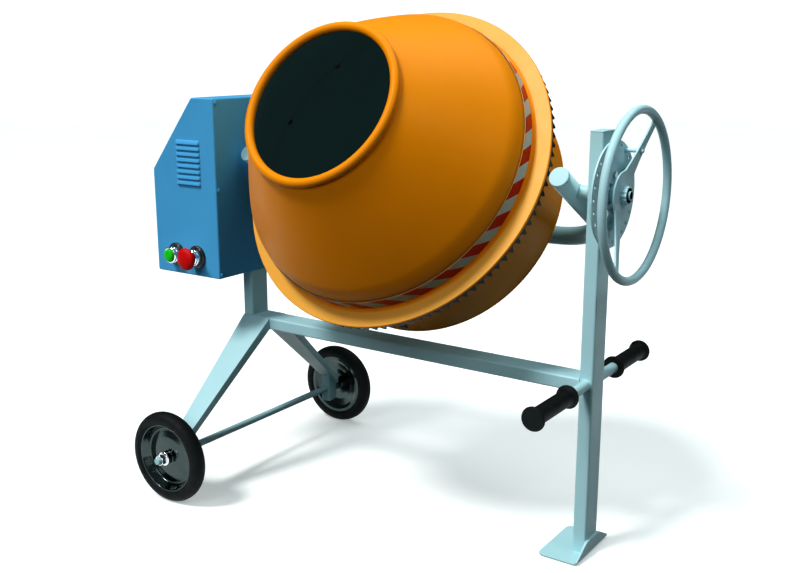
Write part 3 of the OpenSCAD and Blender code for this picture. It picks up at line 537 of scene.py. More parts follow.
MATERIALS = {
    "frame_paint": paint(
        "frame_grey_green", (0.46, 0.74, 0.80), 0.40, coat=0.05, dust=(0.46, 0.52, 0.52), shine=0.2
    ),
    "housing_paint": paint(
        "housing_blue", (0.090, 0.425, 0.770), 0.42, 700, coat=0.0, dust=(0.26, 0.42, 0.55), shine=0.12
    ),
    "drum_paint": paint(
        "drum_amber", (0.86, 0.295, 0.001), 0.42, 650, coat=0.0, dust=(0.80, 0.36, 0.01), shine=0.12
    ),
    # Painted highlight: a paler amber for the flange's flat face, where light falls on it.
    "drum_flange": paint(
        "drum_flange_painted_highlight", (0.84, 0.41, 0.045), 0.45, 650, coat=0.05, dust=(0.80, 0.42, 0.09)
    ),
    "drum_inside": drum_inside(),
    # Painted shade: the white tape is coloured a dim teal grey, as for the band in shade under the shell's lip.
    "stripe_tape": tape("tape_white_painted_shade", (0.36, 0.53, 0.59)),
    "stripe_red": tape("tape_red", (0.40, 0.001, 0.003)),
    "gear_iron": gear_iron(),
    "worn_steel": steel("blade_dark_steel", (0.030, 0.032, 0.033), 0.55),
    "zinc_steel": steel("zinc_plate", (0.55, 0.58, 0.60), 0.34),
    "axle_nut_paint": steel("bright_plate", (0.78, 0.80, 0.84), 0.16),
    "bronze": steel("sintered_bronze", (0.52, 0.34, 0.15), 0.42),
    "wheel_chrome": steel("dark_chrome", (0.07, 0.09, 0.09), 0.16),
    "tyre_rubber": rubber("tyre_black", (0.0025, 0.0045, 0.0048), 0.62),
    "grip_rubber": rubber("grip_black", (0.0022, 0.004, 0.0042), 0.62, grain=900),
    "belt_rubber": rubber("belt_black", (0.012, 0.012, 0.012), 0.6),
    "motor_alloy": steel("cast_alloy", (0.42, 0.44, 0.46), 0.5),
    "black_plastic": plastic("plastic_black", (0.008, 0.010, 0.011), 0.42),
    "collar_chrome": steel("polished_chrome", (0.80, 0.82, 0.84), 0.09),
    "start_green": plastic("button_green", (0.006, 0.66, 0.010), 0.45, Specular_IOR_Level=0.25),
    "stop_red": plastic("button_red", (0.66, 0.0015, 0.002), 0.5, Specular_IOR_Level=0.2),
}


def piece(name, mesh, node, replaces=(), slot=None, materials=None):
    """A new piece that rides with a CAD node's body and takes its finish."""
    slot = slot or SLOT_OF[node]
    return new_piece(name, mesh, BODY_OF[node], materials or [MATERIALS[slot]], replaces)


def group(name, meshes, node, replaced=()):
    """Several meshes as one piece, in the place of a node."""
    return piece(name, joined(meshes), node, replaced)


def turned(name, outline, place, node, segments=ROUND):
    """A lathe-turned piece that stands in for a CAD node."""
    piece(name, lathe(outline, place, segments), node, [node])


# ---- CAD nodes that stay: material, softened edges ----

EDGES = {
    "leg_near": 2.5,
    "leg_far": 2.5,
    "axle_brackets": 1.5,
    "index_disc": 0.4,
    "ring_gear": 0.5,
    "pinion_gear": 0.4,
    "mixing_blade_1": 1.0,
    "mixing_blade_2": 1.0,
    "motor_body": 0.8,
    "motor_bracket": 0.8,
    "switch_blocks": 1.0,
    "bearing_housing": 1.0,
    "power_inlet": 0.8,
}


def dress_cad_nodes():
    """Gives every carried-over node its finish, joins its split corners and softens its edges."""
    for node, thing in NODES.items():
        thing.data.materials.clear()
        thing.data.materials.append(MATERIALS[SLOT_OF[node]])
        weld = thing.modifiers.new("join", "WELD")
        weld.merge_threshold = 0.00001
        bevel = thing.modifiers.new("edges", "BEVEL")
        bevel.width = EDGES.get(node, 0.3) * MM
        bevel.segments = 2
        bevel.limit_method = "ANGLE"
        bevel.angle_limit = math.radians(35)
        normals = thing.modifiers.new("normals", "WEIGHTED_NORMAL")
        normals.keep_sharp = False


# ---- Drum ----


def shell_profile(lip_r, lip_s, top_r, top_s, inset):
    """Outline of the upper shell from its lip to the mouth: a shoulder arc, then a nearly straight cone."""
    shoulder_r, turn, bulge = 90 * MM, math.radians(34), 3 * MM
    centre = Vector((lip_r - shoulder_r, lip_s + 1 * MM))
    end = centre + shoulder_r * Vector((math.cos(turn), math.sin(turn)))
    chord = Vector((top_r, top_s)) - end
    cone_r = ((chord.length / 2) ** 2 + bulge**2) / (2 * bulge)
    half = math.asin(chord.length / 2 / cone_r)
    out = Vector((chord.y, -chord.x)).normalized()
    cone_centre = end + chord / 2 - out * (cone_r - bulge)
    base = math.atan2(out.y, out.x)
    points = []
    for i in range(13):
        a = turn * i / 12
        points.append(centre + (shoulder_r - inset) * Vector((math.cos(a), math.sin(a))))
    for i in range(1, 17):
        a = base + half * (2 * i / 16 - 1)
        points.append(cone_centre + (cone_r - inset) * Vector((math.cos(a), math.sin(a))))
    return points


def build_drum():
    """Upper shell, mouth ring, collar with its flange, basin and the striped band."""
    paint_pair = [MATERIALS["drum_paint"], MATERIALS["drum_inside"]]
    sheet = 3 * MM
    shell = Span("drum_upper_shell", drum_place)
    ring = Span("mouth_ring", drum_place)
    collar = Span("drum_collar", drum_place)
    basin = Span("drum_basin", drum_place)
    band = Span("stripe_band", drum_place)
    bar = (ring.s1 - ring.s0) / 2
    mouth_r = (ring.r0 + ring.r1) / 2
    band_r = band.r1 - 0.6 * MM

    # Mouth: rolled bar
    turned("rolled_mouth_ring", bar_outline(mouth_r, ring.mid, bar, 40), drum_place, "mouth_ring", FINE)

    # Upper shell: outer skin, hem at the lip, inner skin
    arc_s = collar.s1 - 6 * MM
    top_r, top_s = mouth_r + 3 * MM, ring.mid - 5 * MM
    outer = shell_profile(shell.r1, arc_s, top_r, top_s, 0)
    inner = shell_profile(shell.r1, arc_s, top_r, top_s, sheet)[::-1]
    hem = rounded(
        [
            (shell.r1 - sheet, arc_s, 0), (shell.r1 - sheet, shell.s0, 1.2 * MM),
            (shell.r1 - 0.05 * MM, shell.s0, 1.2 * MM), (shell.r1 - 0.05 * MM, arc_s, 0),
        ],
        closed=False,
    )
    outline = hem[1:] + outer[1:] + inner
    bare, painted = len(hem) - 3, len(hem) - 1 + len(outer) - 1
    # The hem's end and the inner skin take the dark inside finish: painted shade with a painted glow.
    finish = lambda i, j: 0 if bare < i < painted else 1
    mesh = lathe(outline, drum_place, FINE, material_of=finish)
    piece("upper_shell", mesh, "drum_upper_shell", ["drum_upper_shell"], materials=paint_pair)

    # Collar: band round the lip, small fillet, flat flange with a turned-down rim
    flange_s, flange_r = collar.s0, collar.r1
    plane_s = flange_s + 5 * MM
    bend_r = 7 * MM
    outline = rounded(
        [
            (band_r - sheet, collar.s1, 0.9 * MM), (band_r, collar.s1, 1.2 * MM), (band_r, plane_s, bend_r),
            (flange_r, plane_s, 2.2 * MM), (flange_r, flange_s, 0.8 * MM),
            (flange_r - sheet, flange_s, 0.8 * MM), (flange_r - sheet, plane_s - sheet, 1 * MM),
            (band_r - sheet, plane_s - sheet, bend_r + sheet),
        ],
        steps=12,
    )
    last = len(outline)
    under = flange_r - sheet + 0.5 * MM

    # The flange's flat face takes the paler amber, a painted highlight; the collar's inner and under faces take
    # the dark inside finish, painted shade with a painted glow.
    def collar_finish(i, j):
        p, q = outline[i], outline[(i + 1) % last]
        middle = (p + q) / 2
        if middle.y > plane_s - 0.05 * MM and middle.x > band_r + bend_r:
            return 1
        if middle.x < band_r - sheet / 2 or (middle.y < plane_s - sheet / 2 and middle.x < under):
            return 2
        return 0

    mesh = lathe(outline, drum_place, FINE, material_of=collar_finish)
    finishes = [MATERIALS["drum_paint"], MATERIALS["drum_flange"], MATERIALS["drum_inside"]]
    piece("flanged_collar", mesh, "drum_collar", ["drum_collar"], materials=finishes)

    # Band of slanted stripes
    build_stripes(band_r, band.s0, band.s1)

    # Basin: flange, slightly tapered wall, dished floor
    floor_s, wall_s = basin.s0, basin.s0 + 36 * MM
    top_s = basin.s1
    top_r, foot_r = 320 * MM, 315 * MM
    flat_r, back_s = 75 * MM, top_s - sheet
    hole_r = basin.r0
    span = foot_r - flat_r

    def dish(share, inset):
        r = foot_r - inset - (span - inset) * share
        return Vector((r, wall_s + inset - (wall_s - floor_s) * (1 - (1 - share) ** 2)))

    steps = 20
    outer = rounded(
        [
            (basin.r1, top_s, 0.7 * MM), (basin.r1, back_s, 0.7 * MM), (top_r, back_s, 3 * MM),
            (foot_r, wall_s, 9 * MM), (*dish(1 / steps, 0), 0),
        ],
        steps=6,
        closed=False,
    )
    outer[0:1] = rounded([(basin.r1 - 4 * MM, top_s, 0), (basin.r1, top_s, 0.7 * MM), (basin.r1, back_s, 0)],
                         closed=False)[:-1]
    outer += [dish(i / steps, 0) for i in range(2, steps + 1)]
    outer += [Vector((hole_r, floor_s)), Vector((hole_r, floor_s + sheet))]
    inner = [dish(1 - i / steps, sheet) for i in range(steps)]
    inner += rounded(
        [
            (*dish(1 / steps, sheet), 0), (foot_r - sheet, wall_s + sheet, 7 * MM),
            (top_r - sheet, top_s, 4 * MM), (basin.r1 - 4 * MM, top_s, 0),
        ],
        steps=6,
        closed=False,
    )[1:-1]
    # The basin's inner side takes the same dark inside finish: painted shade with a painted glow.
    inside_from = len(outer) - 1
    mesh = lathe(
        outer + inner, drum_place, FINE, material_of=lambda i, j: 1 if i >= inside_from else 0
    )
    piece("dished_basin", mesh, "drum_basin", ["drum_basin"], materials=paint_pair)
    round_wall = circle_path(drum_place, foot_r + 0.4 * MM, wall_s + 3 * MM, 160)
    seam = weld_bead(round_wall, closed=True, radius=1.6 * MM, ripple=7 * MM)
    piece("basin_seam", seam, "drum_basin")


def build_stripes(radius, low, high):
    """Ring of slanted stripes in two colours, thick as tape."""
    pairs, per_stripe, rows = 29, 5, 6
    columns = pairs * 2 * per_stripe
    slant = -math.radians(0.155) / MM
    red_centre = math.radians(5)
    first = red_centre - slant * (high - low) / 2 - 2 * math.pi * 1.5 * per_stripe / columns
    thick = 0.55 * MM
    bm = bmesh.new()
    grid = []
    for i in range(rows + 1):
        s = low + (high - low) * i / rows
        turn = slant * (s - low)
        angles = [first + 2 * math.pi * j / columns + turn for j in range(columns)]
        grid.append(
            [
                [bm.verts.new((r * math.cos(a), r * math.sin(a), s)) for a in angles]
                for r in (radius + thick, radius + 0.02 * MM)
            ]
        )
    for i in range(rows):
        for side in (0, 1):
            low_ring, high_ring = grid[i][side], grid[i + 1][side]
            for j in range(columns):
                k = (j + 1) % columns
                face = bm.faces.new((low_ring[j], low_ring[k], high_ring[k], high_ring[j]))
                face.material_index = (j // per_stripe) % 2
    for end in (grid[0], grid[-1]):
        for j in range(columns):
            k = (j + 1) % columns
            face = bm.faces.new((end[0][j], end[0][k], end[1][k], end[1][j]))
            face.material_index = (j // per_stripe) % 2
    mesh = mesh_from(bm, drum_place)
    tapes = [MATERIALS["stripe_tape"], MATERIALS["stripe_red"]]
    piece("striped_band", mesh, "stripe_band", ["stripe_band"], materials=tapes)


# ---- Yoke ----


def build_yoke():
    """Bent tube, rounded end caps, welds round the pivots and the bearing housing."""
    tube = Span("yoke_tube", drum_place)
    caps = Span("yoke_end_caps", drum_place)
    inverse = drum_place.inverted()
    xs = [(inverse @ v.co).x for v in NODES["yoke_tube"].data.vertices]
    ys = [(inverse @ v.co).y for v in NODES["yoke_tube"].data.vertices]
    radius = (max(ys) - min(ys)) / 2
    arms = {-1: min(xs) + radius, 1: max(xs) - radius}
    back = tube.s0 + radius
    front = caps.s0
    bend = 150 * MM
    corners = [(arms[-1], 0, front), (arms[-1], 0, back), (arms[1], 0, back), (arms[1], 0, front)]
    path = [Vector(corners[0])]
    path += arc_points(corners[1], corners[0], corners[2], bend, 28)
    path += arc_points(corners[2], corners[1], corners[3], bend, 28)
    path.append(Vector(corners[3]))
    mesh = sweep([drum_place @ p for p in path], lambda t: radius, sides=64)
    piece("bent_yoke", mesh, "yoke_tube", ["yoke_tube"])
    meshes = []
    foot = front - 1 * MM
    outline = [(0, foot, 0), (radius, foot, 0), (radius, caps.s1, 3.2 * MM), (0, caps.s1, 0)]
    outline = rounded(outline, steps=6, closed=False)
    for side in (-1, 1):
        place = drum_place @ Matrix.Translation((arms[side], 0, 0))
        meshes.append(lathe(outline, place, 64))
    group("rounded_end_caps", meshes, "yoke_end_caps", ["yoke_end_caps"])
    hub = Span("bearing_housing", drum_place)
    beads = []
    for side in (-1, 1):
        pivot_r = (13 if side > 0 else 17) * MM
        down = drum_place.to_3x3() @ Vector((0, 0, 1))
        over = drum_place.to_3x3() @ Vector((0, 1, 0))
        path = []
        for j in range(49):
            a = 2 * math.pi * j / 48
            across = pivot_r * math.sin(a)
            reach = arms[side] + side * math.sqrt(radius**2 - across**2)
            path.append(tilt_point + Vector((reach, 0, 0)) + down * pivot_r * math.cos(a) + over * across)
        beads.append(weld_bead(path))
    for side in (-1, 1):
        path = []
        for j in range(49):
            a = 2 * math.pi * j / 48
            y = radius * math.cos(a)
            x = math.sqrt(hub.r1**2 - y**2) * side
            path.append(drum_place @ Vector((x, y, back + radius * math.sin(a))))
        beads.append(weld_bead(path))
    group("yoke_welds", beads, "yoke_tube")


# ---- Frame ----


def build_frame():
    """Tube posts and beam with rounded corners, foot plate, axle, handle and the welds between them."""
    corner, wall = 4.5 * MM, 2.5 * MM
    (bx0, by0, bz0), (bx1, by1, bz1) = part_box("main_beam")
    flat = axes((0, 0, 0), (1, 0, 0), (0, 1, 0))
    mesh = slab(box_outline(by0, by1, bz0, bz1, corner), flat, bx0, bx1, 0, hollow=wall)
    piece("beam_tube", mesh, "main_beam", ["main_beam"])
    upright = Matrix.Identity(4)
    posts = {}
    tubes = (("motor_side_post", "motor_post_tube"), ("handwheel_side_post", "handwheel_post_tube"))
    for node, name in tubes:
        (x0, y0, z0), (x1, y1, z1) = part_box(node)
        mesh = slab(box_outline(x0, x1, y0, y1, corner), upright, z0, z1, 0, hollow=wall)
        piece(name, mesh, node, [node])
        posts[node] = (x0, y0, x1, y1, z0)
    (x0, y0, z0), (x1, y1, z1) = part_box("post_cap")
    mesh = slab(box_outline(x0, x1, y0, y1, corner), upright, z0, z1, 1.2 * MM)
    piece("domed_post_cap", mesh, "post_cap", ["post_cap"])

    # Beam's end plate under the motor post
    inset = 2.6 * MM
    mesh = slab(
        box_outline(by0 + inset, by1 - inset, bz0 + inset, bz1 - inset, 2 * MM),
        flat, bx0 + 0.3 * MM, bx0 + 2.3 * MM, 0,
    )
    piece("beam_end_plug", mesh, "main_beam")

    # Foot plate bent up against the post
    (x0, y0, z0), (x1, y1, z1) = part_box("foot_plate")
    thick = 5 * MM
    half = (y1 - y0) / 2
    middle = (y0 + y1) / 2
    round_r, bend_r, top_half = 14 * MM, 7 * MM, 30 * MM
    flat_part = [Vector((x0, thick / 2)), Vector((x1 - thick / 2, thick / 2)), Vector((x1 - thick / 2, z1))]
    bend = arc_points(flat_part[1], flat_part[0], flat_part[2], bend_r, 8)
    bend = [Vector((p[0], p[1])) for p in bend]
    path, widths = [], []
    for i in range(13):
        a = math.pi / 2 * i / 12
        path.append(Vector((x0 + round_r * (1 - math.cos(a)), thick / 2)))
        widths.append(half - round_r + round_r * math.sin(a))
    path += bend
    widths += [half] * len(bend)
    rise_from = bend[-1].y
    for i in range(1, 9):
        z = rise_from + (z1 - rise_from) * i / 8
        path.append(Vector((x1 - thick / 2, z)))
        widths.append(half + (top_half - half) * (i / 8))
    mesh = strip(path, widths, thick, Matrix.Translation((0, middle, 0)), edge=1.4 * MM)
    piece("bent_foot_plate", mesh, "foot_plate", ["foot_plate"])

    # Welds where tubes meet
    px0, py0, px1, py1, _ = posts["handwheel_side_post"]
    mx0, my0, mx1, my1, mz0 = posts["motor_side_post"]
    seams = [
        ((px0, by0 + corner, bz0), (px0, by1 - corner, bz0)),
        ((px0, by0 + corner, bz1), (px0, by1 - corner, bz1)),
        ((px0, by0, bz0 + corner), (px0, by0, bz1 - corner)),
        ((px0, by1, bz0 + corner), (px0, by1, bz1 - corner)),
        ((px0, py0 + corner, thick), (px0, py1 - corner, thick)),
        ((px0 + corner, py0, thick), (px1 - 2 * MM, py0, thick)),
        ((px0 + corner, py1, thick), (px1 - 2 * MM, py1, thick)),
        ((mx1, my0 + corner, mz0), (mx1, my1 - corner, mz0)),
    ]
    beads = [weld_bead(seam) for seam in seams]
    for y in (my0, my1):
        beads.append(weld_bead([(mx0 + corner, y, mz0), (mx1 - corner, y, mz0)], radius=1.4 * MM))
    group("frame_welds", beads, "main_beam")

    # Axle with turned ends, washers and nuts
    axle_place = axes(JOINTS["wheel_near_spin"]["pos_m"], (0, 1, 0))
    axle = Span("wheel_axle", axle_place)
    end_r = 1.6 * MM
    outline = rounded(
        [(0, axle.s0, 0), (axle.r1, axle.s0, end_r), (axle.r1, axle.s1, end_r), (0, axle.s1, 0)],
        closed=False,
    )
    turned("turned_axle", outline, axle_place, "wheel_axle", 64)
    nuts = []
    far, near = Span("axle_nuts", axle_place).s1, Span("axle_nuts", axle_place).s0
    for end_s, side in ((near, -1), (far, 1)):
        place = axes(axle_place @ Vector((0, 0, end_s)), (0, side, 0))
        nuts.append(hex_nut(24 * MM, axle.r1 * 0.98, -13 * MM, 0, place))
        washer = rounded(
            [
                (axle.r1, -16 * MM, 0.5 * MM), (17 * MM, -16 * MM, 0.8 * MM),
                (17 * MM, -14.2 * MM, 1.5 * MM), (12.5 * MM, -12.9 * MM, 1.0 * MM),
                (axle.r1, -12.9 * MM, 0.4 * MM),
            ]
        )
        nuts.append(lathe(washer, place, 64))
    group("wheel_nuts", nuts, "axle_nuts", ["axle_nuts"])

    # Transport handle
    (hx0, hy0, hz0), (hx1, hy1, hz1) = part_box("handle_bar")
    handle_place = axes(((hx0 + hx1) / 2, 0, (hz0 + hz1) / 2), (0, 1, 0))
    bar_r = (hz1 - hz0) / 2
    outline = rounded([(0, hy0, 0), (bar_r, hy0, 1 * MM), (bar_r, hy1, 1 * MM), (0, hy1, 0)], closed=False)
    turned("handle_tube", outline, handle_place, "handle_bar", 64)
    build_grips(handle_place, bar_r)
    beads = []
    for y in (py0, py1):
        beads.append(weld_bead(circle_path(handle_place, bar_r + 0.3 * MM, y, 48), radius=1.8 * MM))
    group("handle_welds", beads, "handle_bar")


def build_grips(handle_place, bar_r):
    """Two rubber grips with round flanges and closed ends."""
    (_, gy0, _), (_, gy1, gz1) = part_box("handle_grips")
    middle = (gy0 + gy1) / 2
    end_r = gz1 - handle_place.translation.z
    length = 157 * MM
    body_r = 17.5 * MM
    meshes = []
    for side in (-1, 1):
        place = axes(handle_place.translation + Vector((0, middle + side * (gy1 - middle), 0)), (0, side, 0))
        flange = 11 * MM
        outline = rounded(
            [
                (0, -5 * MM, 0), (bar_r + 0.1 * MM, -5 * MM, 0.5 * MM),
                (bar_r + 0.1 * MM, -length, 0.6 * MM), (end_r - 1.5 * MM, -length, 3.5 * MM),
                (end_r, -length + flange * 0.55, 4 * MM), (body_r + 1.5 * MM, -length + flange, 3 * MM),
                (body_r, -length + flange + 5 * MM, 3 * MM), (body_r, -flange - 5 * MM, 3 * MM),
                (body_r + 1.5 * MM, -flange, 3 * MM), (end_r, -flange * 0.55, 4 * MM),
                (end_r - 1.5 * MM, 0, 3.5 * MM), (0, 0, 0),
            ],
            closed=False,
        )
        meshes.append(lathe(outline, place, 96))
    group("rubber_grips", meshes, "handle_grips", ["handle_grips"])


# ---- Motor housing ----


def build_housing():
    """Folded sheet housing with pressed louvres, in one piece with its back plate."""
    (x0, y0, z0), (x1, y1, z1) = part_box("housing_back_plate")
    out_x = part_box("housing_shell")[0].x
    louvre_depth = 5 * MM
    slope_w, slope_h = 141 * MM, 177 * MM
    bend = 5 * MM
    front_place = axes((0, 0, 0), (0, -1, 0))
    outline = rounded(
        [
            (x1, z0, bend), (x1, z1, bend), (out_x + slope_w, z1, bend * 2),
            (out_x, z1 - slope_h, bend * 2), (out_x, z0, bend),
        ],
        steps=6,
    )
    block = slab(outline, front_place, -y1, -y0, bend * 0.8, steps=5)
    wall = 2 * MM
    inner = wound(inset_outline(wound(outline), wall))
    cavity = slab(inner, front_place, -y1 + wall, -y0 - wall, 0)
    (ix0, _, iz0), (ix1, _, iz1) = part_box("power_inlet")
    inlet_place = axes(((ix0 + ix1) / 2, y1, (iz0 + iz1) / 2), (0, 1, 0))
    low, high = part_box("start_button")
    button_z = low.z + (high.z - low.z) / 2
    cutters = [cavity, rod(inlet_place, 18.6 * MM, -5 * MM, 5 * MM)]
    for button in ("start_button", "stop_button"):
        lo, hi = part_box(button)
        place = axes(((lo.x + hi.x) / 2, y0, button_z), (0, 1, 0))
        cutters.append(rod(place, 16 * MM, -8 * MM, 5 * MM))
    count, pitch, low_z = 8, 13.9 * MM, 732 * MM
    lx0, lx1 = x0 - 127 * MM, x0 - 47 * MM
    for i in range(count):
        z = low_z + i * pitch
        cutters.append(
            slab(box_outline(lx0 + 4 * MM, lx1 - 4 * MM, z + 0.4 * MM, z + 4.4 * MM, 1 * MM), front_place,
                 -y0 - wall - 1 * MM, -y0 + 1 * MM, 0)
        )
    (px0, py0, _), (_, py1, _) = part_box("motor_side_post")
    cutters.append(slab(box_outline(px0 - 1 * MM, x0, py0 - 1 * MM, py1 + 1 * MM, 1 * MM),
                        Matrix.Identity(4), z0 - 2 * MM, z0 + wall + 1 * MM, 0))
    cutters.append(rod(tilt_place, 25 * MM, x0 - tilt_point.x - 2 * MM, x1 - tilt_point.x + 2 * MM))
    mesh = cut(block, cutters)
    piece("folded_housing", mesh, "housing_shell", ["housing_shell", "housing_back_plate"])
    hoods = [louvre(lx0, lx1, low_z + i * pitch, y0, louvre_depth) for i in range(count)]
    group("pressed_louvres", hoods, "housing_shell")


def wound(outline):
    """The outline, turned round if it runs clockwise."""
    return outline if area(outline) > 0 else outline[::-1]


def area(outline):
    """Signed area of an outline, positive when it runs anticlockwise."""
    return sum(a.cross(b) for a, b in zip(outline, outline[1:] + outline[:1])) / 2


def rod(place, radius, low, high, segments=64):
    """Plain round bar, for cutting holes."""
    return lathe([(0, low), (radius, low), (radius, high), (0, high)], place, segments)


def louvre(x0, x1, z, face_y, depth):
    """One hooded louvre: closed at its ends and top, open below."""
    height, lip = 11 * MM, 1.1 * MM
    end_run = 5 * MM
    across, down = 40, 10
    bm = bmesh.new()

    def spot(i, j, inset):
        x = x0 + (x1 - x0) * i / across
        from_end = min(x - x0, x1 - x, end_run) / end_run
        ends = math.sqrt(max(0.0, 1 - (1 - from_end) ** 2))
        v = j / down
        out = depth * math.sin(v * math.pi / 2) ** 0.8 * ends
        return (x, face_y - max(out - inset, -0.6 * MM), z + height * (1 - v))

    outer = [[bm.verts.new(spot(i, j, 0)) for j in range(down + 1)] for i in range(across + 1)]
    inner = [[bm.verts.new(spot(i, j, lip)) for j in range(down + 1)] for i in range(across + 1)]
    for i in range(across):
        for j in range(down):
            bm.faces.new((outer[i][j], outer[i + 1][j], outer[i + 1][j + 1], outer[i][j + 1]))
            bm.faces.new((inner[i][j], inner[i][j + 1], inner[i + 1][j + 1], inner[i + 1][j]))
        for j in (0, down):
            bm.faces.new((outer[i][j], outer[i + 1][j], inner[i + 1][j], inner[i][j]))
    for i in (0, across):
        for j in range(down):
            bm.faces.new((outer[i][j], outer[i][j + 1], inner[i][j + 1], inner[i][j]))
    return mesh_from(bm)


# ---- Buttons ----


def build_buttons():
    """Rubber base rings, turned chrome collars, the green cap and the red mushroom head."""
    face_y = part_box("housing_back_plate")[0].y
    rings, collars = [], []
    for button in ("start_button", "stop_button"):
        lo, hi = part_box(button)
        place = axes(((lo.x + hi.x) / 2, face_y, (lo.z + hi.z) / 2), (0, -1, 0))
        base = [(20.6, 0, 0), (27.5, 0, 0.3), (27.5, 4, 1.2), (25, 6.5, 1.5), (20.6, 6.5, 0.6)]
        rings.append(lathe(rounded_mm(base), place, 96))
        collar = [
            (15.2, 0, 0), (20.5, 0, 0), (20.5, 16.5, 0.8), (18.6, 17.5, 0.5), (18.6, 19, 0.5),
            (20.2, 19.8, 0.8), (20.2, 24, 1.6), (18, 26, 1.2), (15.2, 25, 0.5),
        ]
        collars.append(lathe(rounded_mm(collar), place, 96))
        if button == "start_button":
            cap = [(0, 7, 0), (14.8, 7, 0.3), (14.8, 31, 2.2), (9, 33.2, 10), (0, 33.5, 0)]
            outline = rounded_mm(cap, steps=8, closed=False)
            turned("green_cap", outline, place, button, 96)
        else:
            head_r, top = 27.5 * MM, face_y - lo.y
            dome = []
            edge_s = 38.5 * MM
            for i in range(15):
                a = math.pi / 2 * (1 - i / 14)
                height = edge_s + (top - edge_s) * math.cos(a) ** 0.85
                dome.append(Vector((head_r * math.sin(a) ** 0.9, height)))
            stem = [
                (0, 8, 0), (14.8, 8, 0.3), (14.8, 33.5, 1.2),
                (24, 35, 2), (27.2, 36.6, 1.5), (27.5, 38.5, 0),
            ]
            outline = rounded_mm(stem, steps=6, closed=False)[:-1] + dome
            outline[-1] = Vector((0, top))
            turned("mushroom_head", outline, place, button, 96)
    group("rubber_base_rings", rings, "button_base_rings", ["button_base_rings"])
    group("turned_collars", collars, "button_collars", ["button_collars"])


# ---- Handwheel ----


def build_handwheel():
    """Round rim, one bent strip for the arms and hub, the hub's socket and its nut."""
    rim = Span("handwheel_rim", tilt_place)
    bar = (rim.s1 - rim.s0) / 2
    rim_r = rim.r1 - bar
    turned("round_rim", bar_outline(rim_r, rim.mid, bar, 32), tilt_place, "handwheel_rim", FINE)
    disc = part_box("index_disc")
    plate_t = 4 * MM
    plate_s = disc[1].x - tilt_point.x + 16 * MM
    hub_r, bend_from, flare_from = 47 * MM, 38 * MM, 30 * MM
    arm_half, flare = 9, 15
    pin = [tilt_place.inverted() @ v.co for v in NODES["lock_pin"].data.vertices]
    pin_centre = sum(pin, Vector()) / len(pin)
    arm_turn = math.atan2(pin_centre.y, pin_centre.x)
    place = tilt_place @ Matrix.Rotation(arm_turn, 4, "Z")
    corners = [
        (-rim_r + 3 * MM, rim.mid - 1 * MM), (-bend_from, plate_s + plate_t / 2),
        (bend_from, plate_s + plate_t / 2), (rim_r - 3 * MM, rim.mid - 1 * MM),
    ]
    bends = (0, 0.06, 0.06, 0)
    line = rounded([(*c, bend) for c, bend in zip(corners, bends)], 10, closed=False)
    steps = 90
    dense = [along(line, i / steps) for i in range(steps + 1)]
    widths = []
    for point in dense:
        t = abs(point.x)
        share = max(0.0, (t - flare_from) / (rim_r - flare_from))
        arm = (arm_half + flare * (1 - share) ** 2.6) * MM
        hub = math.sqrt(max(hub_r**2 - t**2, 0.0))
        blend = 10 * MM
        reach = max(arm, hub) + max(0.0, blend - abs(arm - hub)) ** 2 / (4 * blend)
        widths.append(reach)
    mesh = strip([Vector((p.x, p.y)) for p in dense], widths, plate_t, place)
    socket = rounded(
        [
            (9.5 * MM, plate_s - 18 * MM, 0.6 * MM), (19 * MM, plate_s - 18 * MM, 1.5 * MM),
            (19 * MM, plate_s + 0.5 * MM, 0), (9.5 * MM, plate_s + 0.5 * MM, 0),
        ]
    )
    meshes = [mesh, lathe(socket, tilt_place, 64)]
    group("bent_arms", meshes, "handwheel_spokes", ["handwheel_spokes"])
    nut_low = plate_s + plate_t
    bolt_end = Span("draw_bolt", tilt_place).s1
    nut_high = nut_low + 12 * MM
    nut = hex_nut(32 * MM, 8 * MM, nut_low, nut_high, tilt_place)
    stud_r = 9 * MM
    outline = [(0, nut_low, 0), (stud_r, nut_low, 0), (stud_r, bolt_end, 1.2 * MM), (0, bolt_end, 0)]
    stud = lathe(rounded(outline, closed=False), tilt_place, 64)
    group("hub_nut", [nut, stud], "draw_bolt")
    beads = []
    for side in (-1, 1):
        end = dense[-1] if side > 0 else dense[0]
        inward, drop = -side * 6 * MM, 2 * MM
        for across in (-1, 1):
            edge = across * (9 * MM + 0.2 * MM)
            path = [
                place @ Vector((end.x + inward * (1 - t), edge, end.y - t * drop)) for t in (0, 0.5, 1)
            ]
            beads.append(weld_bead(path, radius=1.6 * MM))
    group("arm_welds", beads, "handwheel_spokes")


# ---- Wheels ----


